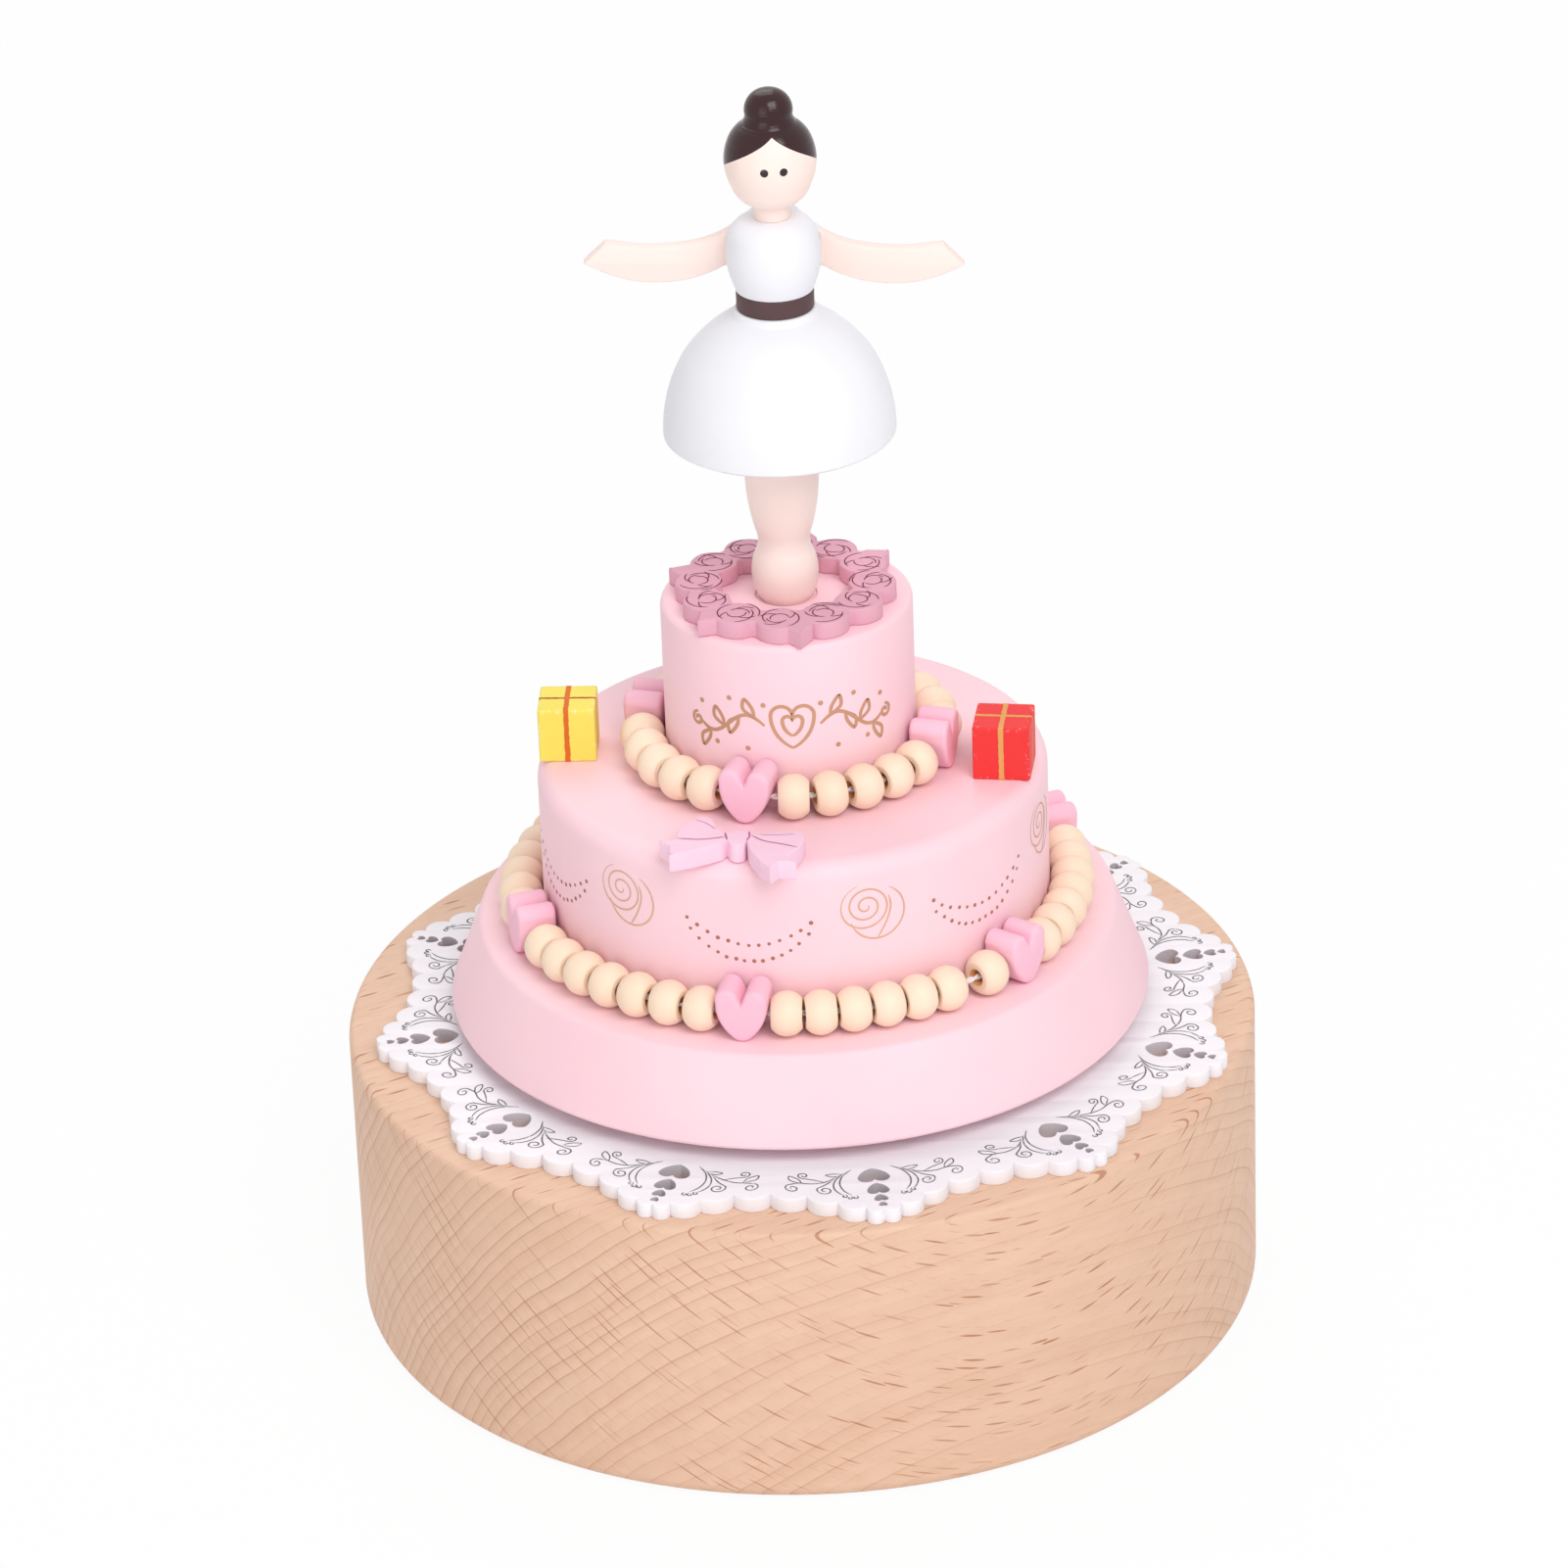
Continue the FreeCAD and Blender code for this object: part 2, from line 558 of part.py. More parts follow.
def heart_bead_wire(shrink, level):
    """Outline of a heart bead with its tip down at the origin, drawn in by a margin."""
    width, height = float(s.heart_width), float(s.heart_height)
    ratio = 1 - 2 * shrink / width
    lobe = width / 4
    drawn = [(-1.4, 0.7), via(0, 0), (1.4, 0.7), via(width * 0.43, height * 0.38),
             (width / 2, height - lobe * 1.15), via(lobe * 1.1, height), (0.4, height * 0.84),
             (0, height * 0.72), (-0.4, height * 0.84),
             via(-lobe * 1.1, height), (-width / 2, height - lobe * 1.15),
             via(-width * 0.43, height * 0.38)]
    middle = height / 2
    wire = loop_wire([p[:-2] + (p[-2] * ratio, middle + (p[-1] - middle) * ratio) for p in drawn])
    wire.translate(FreeCAD.Vector(0, 0, level))
    return wire


def heart_bead_shape():
    """A thick heart across X with softened edges and the string hole along X."""
    depth, edge = float(s.heart_depth), float(s.heart_round)
    sections = [heart_bead_wire(edge, 0), heart_bead_wire(edge * 0.3, edge * 0.3),
                heart_bead_wire(0, edge), heart_bead_wire(0, depth - edge),
                heart_bead_wire(edge * 0.3, depth - edge * 0.3), heart_bead_wire(edge, depth)]
    heart = Part.makeLoft(sections, True, True)
    heart.translate(FreeCAD.Vector(0, -float(s.heart_hole_height), -depth / 2))
    heart.rotate(FreeCAD.Vector(), FreeCAD.Vector(1, 0, 0), 90)
    reach = float(s.heart_width)
    hole = Part.makeCylinder(float(s.bead_hole_radius), reach * 2, FreeCAD.Vector(-reach, 0, 0),
                             FreeCAD.Vector(1, 0, 0))
    return heart.cut(hole)


def garland(level_name, wall_radius, foot, hearts, start, slack_after, drift):
    """Round beads and hearts strung on a cord round a tier. slack_after names the bead of the first
    span after which the string shows, and drift how far the hearts have slid from even places."""
    ring = float(wall_radius + s.garland_play + s.bead_radius)
    inner = ring - float(s.bead_face_radius)
    bead_angle = 2 * math.degrees(math.atan((float(s.bead_length + s.bead_play) / 2) / inner))
    heart_inner = ring - float(s.heart_depth) / 2
    half_heart = float(s.heart_width * 0.93) / 2
    heart_angle = 2 * math.degrees(math.atan(half_heart / heart_inner))
    span = 360.0 / hearts
    bearings = [start + span * i + drift * math.sin(math.radians(span * i)) for i in range(hearts)]
    bead, heart = bead_shape(), heart_bead_shape()
    beads, heart_beads = [], []
    level = float(s.bead_radius + s.bead_rest)
    heart_level = float(s.heart_hole_height + s.bead_rest / 2)
    for i, heart_bearing in enumerate(bearings):
        heart_beads.append(placed(heart, heart_bearing, ring, heart_level))
        following = bearings[i + 1] if i + 1 < hearts else bearings[0] + 360.0
        free = following - heart_bearing - heart_angle
        count = int(free / bead_angle)
        pitch = bead_angle if slack_after and i == 0 else free / count
        for k in range(count):
            angle = heart_bearing + heart_angle / 2 + pitch * (k + 0.5)
            if slack_after and i == 0 and k >= slack_after:
                angle += free - bead_angle * count
            beads.append(placed(bead, angle, ring, level))
    feature(level_name + "_garland_beads", Part.makeCompound(beads), z=foot)
    feature(level_name + "_garland_hearts", Part.makeCompound(heart_beads), z=foot)
    cord = doc.addObject("Part::Torus", level_name + "_string")
    bind(cord, Radius1=wall_radius + s.garland_play + s.bead_radius, Radius2=s.cord_radius,
         Base_z=foot + s.bead_radius + s.bead_rest)
    sub_part(cord, level_name + "_garland_cord")


def placed(shape, angle, radius, level):
    """A copy of a shape drawn across X and facing -Y, set at a bearing on a ring."""
    copy = shape.copy()
    copy.translate(FreeCAD.Vector(0, -radius, level))
    copy.rotate(FreeCAD.Vector(), FreeCAD.Vector(0, 0, 1), angle)
    return copy


# the bow, drawn from the knot: two loops and two forked tails
BOW = [(0.0, 2.0), (-1.8, 1.3), (-2.7, 2.7), (-3.2, 4.4), via(-4.1, 5.9), (-5.1, 6.2), (-6.7, 4.3),
       via(-7.8, 2.0), (-7.9, 0.2), (-10.1, -0.3), (-8.8, -1.7), (-8.8, -4.4), via(-5.3, -3.15),
       (-2.0, -1.2), (-1.2, -1.7), via(0.0, -2.2), (0.8, -2.0), (1.5, -4.2), (2.7, -6.6), (4.0, -8.5),
       (5.1, -7.1), (7.3, -7.3), (6.1, -5.6), (7.0, -4.2), via(8.1, -2.0), (8.4, -0.1),
       via(7.9, 1.1), (6.7, 1.25), via(4.2, 1.1), (2.0, 0.6), (1.3, 1.5)]


def tier_ornaments():
    """The bow, the two gifts and the wreath of roses."""
    bow = board("bow_board", scaled(BOW, s.bow_reach, s.bow_drop), s.bow_thickness)
    bind(bow, Base_x=s.bow_knot_x, Base_y=s.bow_knot_y, Base_z=top_foot)
    sub_part(bow, "bow")
    gifts = (("gift_box_yellow", s.gift_yellow_x, s.gift_yellow_y, -2.0),
             ("gift_box_red", s.gift_red_x, s.gift_red_y, -7.5))
    for node, x, y, turn in gifts:
        cube = doc.addObject("Part::Box", node + "_cube")
        bind(cube, Length=s.gift_size, Width=s.gift_size, Height=s.gift_size)
        softened = doc.addObject("Part::Chamfer", node + "_block")
        softened.Base = cube
        edge = float(s.gift_round)
        softened.Edges = [(i + 1, edge, edge) for i in range(12)]
        rotation = FreeCAD.Rotation(FreeCAD.Vector(0, 0, 1), turn)
        softened.Placement = FreeCAD.Placement(FreeCAD.Vector(), rotation)
        half = s.gift_size / 2
        across, along = math.cos(math.radians(turn)), math.sin(math.radians(turn))
        bind(softened, Base_x=x - half * (across - along), Base_y=y - half * (along + across),
             Base_z=top_foot)
        sub_part(softened, node)
    wreath()


def wreath():
    """A flat ring of roses with leaves, sawn from a board."""
    thickness, ring, rose = float(s.wreath_thickness), float(s.wreath_radius), float(s.rose_radius)
    up = FreeCAD.Vector(0, 0, 1)
    band = Part.makeCylinder(ring + rose * 0.45, thickness).cut(
        Part.makeCylinder(ring - rose * 0.7, thickness))
    solids = []
    for i in range(ROSES):
        x, y = bearing(-4.0 + i * 360.0 / ROSES, ring)
        solids.append(Part.makeCylinder(rose, thickness, FreeCAD.Vector(x, y, 0)))
    leaf = float(s.leaf_length)
    for angle in (7.0, -45.0, -108.0, 122.0, 170.0):
        wire = loop_wire([(-leaf * 0.36, 0), via(-leaf * 0.36, leaf * 0.5), (0, leaf),
                          via(leaf * 0.36, leaf * 0.5), (leaf * 0.36, 0)])
        blade = Part.Face(wire).extrude(FreeCAD.Vector(0, 0, thickness))
        blade.translate(FreeCAD.Vector(0, ring, 0))
        blade.rotate(FreeCAD.Vector(), up, 180 + angle)
        solids.append(blade)
    feature("rose_wreath", band.fuse(solids).removeSplitter(), 0, s.wreath_shift_y, cake_top)


# half outlines of the turned doll, drawn from each piece's foot
LEG = [(3.3, 0.0), via(4.32, 3.3), (3.6, 6.9), via(3.36, 8.0), (3.6, 9.6), via(4.45, 13.5),
       (4.75, 18.0), (4.7, 25.6)]
SKIRT = [(14.88, 0.6), via(14.35, 5.3), (12.25, 10.6), via(9.35, 14.0), (5.6, 16.7), (5.2, 17.6)]
TORSO = [(4.95, 0.0), (5.45, 1.5), via(6.0, 4.3), (5.75, 6.9), via(4.9, 8.8), (3.2, 9.7)]
HEAD = [(2.6, 0.0), via(4.5, 0.85), (5.4, 2.5), via(5.85, 5.9), (5.1, 9.0), via(4.4, 10.0),
        (3.05, 11.0)]
BUN = [(3.0, 0.0), via(3.12, 1.0), (2.95, 2.2), via(2.2, 3.65), (0.5, 4.2), (0.0, 4.2)]
ARMS = [(6.1, 2.5), via(10.4, 0.6), (15.2, 0.0), via(18.8, 0.4), (22.4, 1.7), (24.1, 2.5),
        (21.4, 5.2), (17.6, 4.7), via(14.3, 4.7), (11.2, 5.05), via(8.6, 5.7), (6.0, 6.95),
        via(4.2, 8.4), (2.3, 10.2)]


def tilted(outline, angle, pivot):
    """An outline turned clockwise by an angle about a point on the upright axis."""
    across, along = math.cos(math.radians(angle)), math.sin(math.radians(angle))
    made = []
    for point in outline:
        x, y = point[-2], point[-1] - pivot
        made.append(point[:-2] + (x * across + y * along, pivot - x * along + y * across))
    return made


def doll():
    """Legs, skirt, belt, torso, arm board, head and bun, each with a tenon in the next."""
    tenon, depth = s.leg_tenon_radius, s.leg_tenon_length
    upper = s.skirt_tenon_radius
    profile = scaled(LEG, s.leg_radius, s.leg_height)
    profile += [(upper, s.leg_height), (upper, s.leg_height + depth), (0, s.leg_height + depth),
                (0, -depth), (tenon, -depth), (tenon, 0)]
    sub_part(turned("leg_turning", profile, leg_foot), "doll_legs")

    hollow, waist = s.skirt_hollow, s.waist_tenon_radius + s.fit_play
    profile = scaled(SKIRT, s.skirt_radius, s.skirt_height)
    profile += [(waist, s.skirt_height), (waist, s.skirt_height - s.belt_height), (0, s.skirt_height
                - s.belt_height), (0, hollow + depth + s.end_play),
                (upper + s.fit_play, hollow + depth + s.end_play), (upper + s.fit_play, hollow),
                (s.leg_radius + s.end_play, hollow), (s.skirt_radius - s.skirt_rim, 0)]
    sub_part(turned("skirt_turning", profile, skirt_foot), "doll_skirt")

    belt = [(waist, 0), (s.belt_radius, 0), (s.belt_radius, s.belt_height), (waist, s.belt_height)]
    sub_part(turned("belt_turning", belt, belt_foot), "doll_belt")

    low = s.belt_height * 2 - s.end_play
    profile = scaled(TORSO, s.torso_radius, s.torso_height)
    profile += [(s.neck_tenon_radius + s.fit_play, s.torso_height),
                (s.neck_tenon_radius + s.fit_play, s.torso_height - s.neck_tenon_length - s.end_play),
                (0, s.torso_height - s.neck_tenon_length - s.end_play), (0, -low),
                (s.waist_tenon_radius, -low), (s.waist_tenon_radius, 0)]
    torso = turned("torso_turning", profile, torso_foot)
    front, back = s.arm_back - s.arm_thickness, s.arm_back
    arms_foot = torso_foot + s.arm_lift
    drop = s.torso_radius * math.sin(math.radians(float(s.arm_tilt)))
    board_low = arms_foot + s.arm_height * (2.5 / 10.2) - drop
    notch = block("arm_notch", (-s.torso_radius, s.torso_radius * 1.0),
                  (front - s.fit_play, s.torso_radius * 1.2),
                  (board_low - s.fit_play, neck_foot + 1.0))
    sub_part(cut("torso_notched", torso, [notch]), "doll_torso")

    right = scaled(ARMS, s.arm_reach, s.arm_height)
    left = [point[:-2] + (-point[-2], point[-1]) for point in reversed(right)]
    outline = tilted(right + left, float(s.arm_tilt), float(s.arm_height) * 0.25)
    arms = board("arm_board", outline, s.arm_thickness, "XZ_Plane")
    bind(arms, Base_y=back, Base_z=arms_foot)
    sub_part(arms, "doll_arms")

    tenon, depth = s.neck_tenon_radius, s.neck_tenon_length
    hole = s.bun_tenon_radius + s.fit_play
    crown = s.neck_height + s.head_height
    head = [point[:-1] + (point[-1] + s.neck_height,)
            for point in scaled(HEAD, s.head_radius, s.head_height)]
    bottom = crown - s.bun_tenon_length - s.end_play
    profile = [(0, -depth), (tenon, -depth), (tenon, 0), (s.neck_radius, 0),
               (s.neck_radius, s.neck_height)] + head + [(hole, crown), (hole, bottom), (0, bottom)]
    sub_part(turned("head_turning", profile, neck_foot), "doll_head")

    tenon, depth = s.bun_tenon_radius, s.bun_tenon_length
    profile = scaled(BUN, s.bun_radius, s.bun_height) + [(0, -depth), (tenon, -depth), (tenon, 0)]
    sub_part(turned("bun_turning", profile, bun_foot), "doll_bun")


def comb_screw_places():
    """Two places along the comb's root."""
    y = s.cylinder_radius + s.comb_screw_reach
    return [(s.cylinder_start + cylinder_length * share, y) for share in (0.25, 0.78)]


def bedplate():
    """Cast plate under the ceiling, with the pillar that carries the comb, and its screws."""
    back, front = -s.bedplate_back, bedplate_front
    left, right = -s.bedplate_left, s.bedplate_right
    round_, corner = s.bedplate_corner, 1 - math.sqrt(0.5)
    short = round_ * corner
    outline = [(back + round_, left), (front - round_, left), via(front - short, left + short),
               (front, left + round_), (front, right - round_), via(front - short, right - short),
               (front - round_, right), (back + round_, right), via(back + short, right - short),
               (back, right - round_), (back, left + round_), via(back + short, left + short)]
    plate = board("bedplate_board", outline, s.bedplate_thickness)
    bind(plate, Base_z=plate_under)
    comb_top = axis_level + s.comb_thickness / 2
    comb_back = s.cylinder_radius + s.pin_height + s.pin_gap + s.comb_length
    pillar = block("comb_pillar", (s.cylinder_start, s.cylinder_start + cylinder_length),
                   (comb_back - s.comb_pillar_depth, comb_back), (comb_top, plate_under))
    bore = s.screw_radius + s.fit_play
    holes = [cylinder("bush_seat", s.bush_radius + s.fit_play, plate_under, ceiling)]
    holes += [cylinder("plate_hole_%d" % i, bore, plate_under, ceiling, x, y)
              for i, (x, y) in enumerate(plate_screw_places())]
    holes += [cylinder("housing_pilot_%d" % i, bore, plate_under, plate_under + s.short_screw_grip
                       + s.end_play, x, y) for i, (x, y) in enumerate(housing_screw_places())]
    holes += [cylinder("bracket_pilot_%d" % i, bore, plate_under, plate_under + s.short_screw_grip
                       + s.end_play, x, y) for i, (x, y) in enumerate(bracket_screw_places())]
    holes += [cylinder("governor_pilot_%d" % i, bore, plate_under, plate_under + s.short_screw_grip
                       + s.end_play, x, y) for i, (x, y) in enumerate(governor_screw_places())]
    holes += [cylinder("comb_pilot_%d" % i, bore, comb_top, comb_top + s.comb_screw_grip + s.end_play,
                       x, y) for i, (x, y) in enumerate(comb_screw_places())]
    sub_part(cut("bedplate_drilled", fused("bedplate_casting", [plate, pillar]), holes), "bedplate")
    screws("bedplate_screws", plate_screw_places(), s.bedplate_thickness + s.plate_screw_grip,
           ceiling + s.plate_screw_grip)


def housing_screw_places():
    """Three places on the spring housing's flange."""
    circle = s.housing_radius + s.screw_head_radius + s.end_play * 0.5
    return [(circle * bearing(angle)[0], circle * bearing(angle)[1]) for angle in (0, 120, 240)]


def bracket_screw_places():
    """One place on the foot of each bracket."""
    foot = s.bracket_thickness + s.bracket_foot / 2
    return [(s.bracket_start + foot, as_size(0)), (outer_bracket_start + foot, as_size(0))]


def governor_screw_places():
    """Two places on the governor frame's top plate."""
    return [(worm_x - 2.6, worm_y + 0.9), (worm_x - 0.9, governor_y + 3.2)]


def winding():
    """Arbor with its bush, the great wheel and the ratchet that drives it."""
    bore = s.arbor_radius + s.running_play
    bush_top = s.bush_height
    flange_low = s.bedplate_thickness
    flange_high = flange_low + s.bush_flange_thickness
    sub_part(turned("bush_turning", [
        (bore, 0), (s.bush_radius, 0), (s.bush_radius, flange_low), (s.bush_flange_radius, flange_low),
        (s.bush_flange_radius, flange_high), (s.bush_radius, flange_high), (s.bush_radius, bush_top),
        (bore, bush_top)], plate_under), "arbor_bush")
    arbor_top = cake_foot + s.insert_length + s.insert_flange_thickness + s.end_play
    sub_part(cylinder("arbor_bar", s.arbor_radius, plate_under - s.arbor_below, arbor_top),
             "winding_arbor")
    great_wheel()
    ratchet()
    clip = turned("clip_ring", [(s.arbor_radius + s.fit_play, 0), (s.arbor_radius * 1.7, 0),
                                (s.arbor_radius * 1.7, s.clip_thickness),
                                (s.arbor_radius + s.fit_play, s.clip_thickness)], clip_under)
    gap = block("clip_gap", (-s.arbor_radius * 0.6, s.arbor_radius * 0.6), (as_size(0), s.arbor_radius * 2),
                (clip_under, ratchet_under))
    sub_part(cut("clip_opened", clip, [gap]), "arbor_clip")


def great_wheel():
    """Disc with crown teeth along its rim, pointing up."""
    module, width = float(s.wheel_module), float(s.crown_width)
    pitch_radius = float(great_radius)
    inner, outer = pitch_radius - width / 2, pitch_radius + width / 2
    disc_height = float(s.wheel_disc)
    disc = Part.makeCylinder(outer, disc_height).cut(
        Part.makeCylinder(float(s.arbor_radius + s.fit_play), disc_height))
    root, tip = disc_height, disc_height + module * 2.25
    pitch = math.pi * module
    half_pitch_width = pitch / 4 - float(s.tooth_play) / 2
    slope = math.tan(math.radians(20)) * module
    teeth = []
    wire = Part.makePolygon([FreeCAD.Vector(inner, y, z) for y, z in (
        (-half_pitch_width - slope * 1.25, root - 0.2), (half_pitch_width + slope * 1.25, root - 0.2),
        (half_pitch_width + slope * 1.25, root), (half_pitch_width - slope, tip),
        (-half_pitch_width + slope, tip), (-half_pitch_width - slope * 1.25, root),
        (-half_pitch_width - slope * 1.25, root - 0.2))])
    tooth = Part.Face(wire).extrude(FreeCAD.Vector(width - 0.05, 0, 0))
    for i in range(GREAT_TEETH):
        copy = tooth.copy()
        copy.rotate(FreeCAD.Vector(), FreeCAD.Vector(0, 0, 1), i * 360.0 / GREAT_TEETH)
        teeth.append(copy)
    rivet = Part.makeCylinder(float(s.screw_radius * 0.8 + s.fit_play), disc_height,
                              FreeCAD.Vector(0, click_reach(), 0))
    feature("great_wheel", disc.fuse(teeth).cut(rivet), z=wheel_under)


def click_reach():
    """Distance of the click's rivet from the arbor."""
    return float(s.ratchet_radius) + 3.4


def ratchet():
    """Saw toothed wheel on the arbor, and the click that it drives, riveted to the great wheel."""
    radius, thickness = float(s.ratchet_radius), float(s.ratchet_thickness)
    points = []
    for i in range(RATCHET_TEETH):
        points.append(bearing(i * 360.0 / RATCHET_TEETH, radius))
        points.append(bearing(i * 360.0 / RATCHET_TEETH + 2.0, radius * 0.82))
    wheel = Part.Face(loop_wire(points)).extrude(FreeCAD.Vector(0, 0, thickness))
    wheel = wheel.cut(Part.makeCylinder(float(s.arbor_radius + s.fit_play), thickness))
    feature("ratchet_wheel", wheel, z=ratchet_under)
    reach = click_reach()
    rivet = float(s.screw_radius * 0.8)
    gap = float(s.end_play)
    arm = loop_wire([(-1.7, reach), via(0, reach + 1.7), (1.7, reach), (1.5, reach - 2.0),
                     (-1.1, radius + gap), (-2.1, radius + gap + 0.3)])
    click = Part.Face(arm).extrude(FreeCAD.Vector(0, 0, thickness))
    hole = Part.makeCylinder(rivet + float(s.fit_play), thickness, FreeCAD.Vector(0, reach, 0))
    feature("click", click.cut(hole), z=ratchet_under)
    shank = Part.makeCylinder(rivet, thickness + float(s.wheel_disc), FreeCAD.Vector(0, reach, 0))
    head = Part.makeCylinder(rivet * 1.7, 0.6, FreeCAD.Vector(0, reach, -0.6))
    feature("click_rivet", shank.fuse(head), z=ratchet_under)


def spring():
    """Spring housing hung from the bedplate, its screws and cap, and the mainspring in it."""
    height, wall = s.housing_height, s.housing_wall
    radius, flange = s.housing_radius, s.plate_thickness
    hole = s.bush_radius + s.end_play
    tube = turned("housing_turning", [
        (radius - wall, 0), (radius, 0), (radius, height - flange), (s.housing_flange_radius,
        height - flange), (s.housing_flange_radius, height), (hole, height), (hole, height - flange),
        (radius - wall, height - flange)], housing_under)
    holes = [cylinder("housing_hole_%d" % i, s.screw_radius + s.fit_play, plate_under - flange,
                      plate_under, x, y) for i, (x, y) in enumerate(housing_screw_places())]
    sub_part(cut("housing_drilled", tube, holes), "spring_housing")
    screws("housing_screws", housing_screw_places(), flange + s.short_screw_grip,
           plate_under + s.short_screw_grip)
    bore = s.arbor_radius + s.running_play
    sub_part(turned("cap_turning", [(bore, 0), (radius, 0), (radius, s.housing_cap_thickness),
                                    (bore, s.housing_cap_thickness)], cap_under), "housing_cap")
    mainspring()


def mainspring():
    """Flat spiral strip of half circles, from the housing wall in towards the arbor."""
    thickness, pitch = float(s.spring_thickness), float(s.spring_pitch)
    start = float(s.housing_radius - s.housing_wall) - 0.02
    height = float(s.housing_height - s.plate_thickness - s.spring_margin * 2)
    outer, inner = [], []
    radius, centre = start, 0.0
    side = 1
    step = pitch / 2
    for _ in range(SPRING_HALF_TURNS):
        for edges, r in ((outer, radius), (inner, radius - thickness)):
            edges.append(Part.Arc(FreeCAD.Vector(centre + side * r, 0, 0),
                                  FreeCAD.Vector(centre, side * r, 0),
                                  FreeCAD.Vector(centre - side * r, 0, 0)).toShape())
        radius -= step
        centre -= side * step
        side = -side
    ends = [Part.makeLine(FreeCAD.Vector(start, 0, 0), FreeCAD.Vector(start - thickness, 0, 0))]
    tail = [edge.Vertexes[-1].Point for edge in (outer[-1], inner[-1])]
    ends.append(Part.makeLine(*tail))
    strip = Part.Face(Part.Wire(Part.__sortEdges__(outer + inner + ends)))
    turns = [abs(point.x) for point in tail]
    print("mainspring: least gap between turns %.2f, inner end at %.2f" % (pitch - thickness, min(turns)))
    feature("mainspring", strip.extrude(FreeCAD.Vector(0, 0, height)),
            z=housing_under + s.spring_margin)


def gear_face(teeth, module, bore, first):
    """Face of a spur wheel about Z. first is the angle from +X of the middle of one tooth."""
    pitch_radius = module * teeth / 2
    root, tip = pitch_radius - 1.25 * module, pitch_radius + module
    quarter = 90.0 / teeth
    play = math.degrees(float(s.tooth_play) / 2 / pitch_radius)
    flank = math.degrees(math.tan(math.radians(20)) * module / pitch_radius)
    points = []
    for i in range(teeth):
        middle = first + i * 360.0 / teeth
        for radius, offset in ((root, -quarter + play - flank), (pitch_radius, -quarter + play),
                               (tip, -quarter + play + flank * 1.3), (tip, quarter - play - flank * 1.3),
                               (pitch_radius, quarter - play), (root, quarter - play + flank)):
            turn = math.radians(middle + offset)
            points.append((radius * math.cos(turn), radius * math.sin(turn)))
    hole = Part.Face(Part.Wire(Part.makeCircle(bore)))
    return Part.Face(loop_wire(points)).cut(hole)


def lying_gear(node, teeth, module, bore, first, start, width, y):
    """A spur wheel about the X direction. first is the angle of a tooth from +Y towards +Z."""
    solid = gear_face(teeth, float(module), float(bore), first).extrude(
        FreeCAD.Vector(0, 0, float(width)))
    solid.Placement = FreeCAD.Placement(FreeCAD.Matrix(0, 0, 1, 0, 1, 0, 0, 0, 0, 1, 0, 0, 0, 0, 0, 1))
    feature(node, Part.makeCompound([solid]).Solids[0], start, y, axis_level)


def cylinder_train():
    """Pinned cylinder, its arbor, pinion and wheel, and the two brackets that carry them."""
    bore = s.cylinder_arbor_radius + s.fit_play
    half_pinion = 180.0 / PINION_TEETH
    lying_gear("cylinder_pinion", PINION_TEETH, s.wheel_module, bore, -90 + half_pinion,
               s.pinion_start, s.pinion_width, as_size(0))
    lying_gear("cylinder_wheel", CYLINDER_WHEEL_TEETH, s.governor_module, bore, 180,
               cylinder_wheel_start, s.cylinder_wheel_width, as_size(0))
    outer_end = outer_bracket_start + s.bracket_thickness
    arbor = lying_cylinder("cylinder_bar", s.cylinder_arbor_radius, s.pinion_start,
                           outer_end, as_size(0), axis_level)
    sub_part(arbor, "cylinder_arbor")
    pinned_cylinder()
    bracket("cylinder_bracket_inner", s.bracket_start)
    bracket("cylinder_bracket_outer", outer_bracket_start)
    screws("bracket_screws", bracket_screw_places(), s.plate_thickness + s.short_screw_grip,
           plate_under + s.short_screw_grip)


def bracket(node, start):
    """Bent plate: an upright with the bearing hole, and a foot under the bedplate."""
    half = s.bracket_half_width
    stop = start + s.bracket_thickness
    low = axis_level - half
    upright = block(node + "_upright", (start, stop), (-half, half), (low, plate_under))
    foot = block(node + "_foot", (start, stop + s.bracket_foot), (-half, half),
                 (plate_under - s.plate_thickness, plate_under))
    hole = lying_cylinder(node + "_bearing", s.cylinder_arbor_radius + s.running_play, start, stop,
                          as_size(0), axis_level)
    x = stop + s.bracket_foot / 2
    screw = cylinder(node + "_hole", s.screw_radius + s.fit_play, plate_under - s.plate_thickness,
                     plate_under, x, as_size(0))
    sub_part(cut(node + "_drilled", fused(node + "_plate", [upright, foot]), [hole, screw]), node)


def track_x(track):
    """Middle of a comb tooth, measured from the cylinder's end."""
    pitch = float(cylinder_length) / (COMB_TEETH + 0.5)
    return pitch * (track + 0.75)


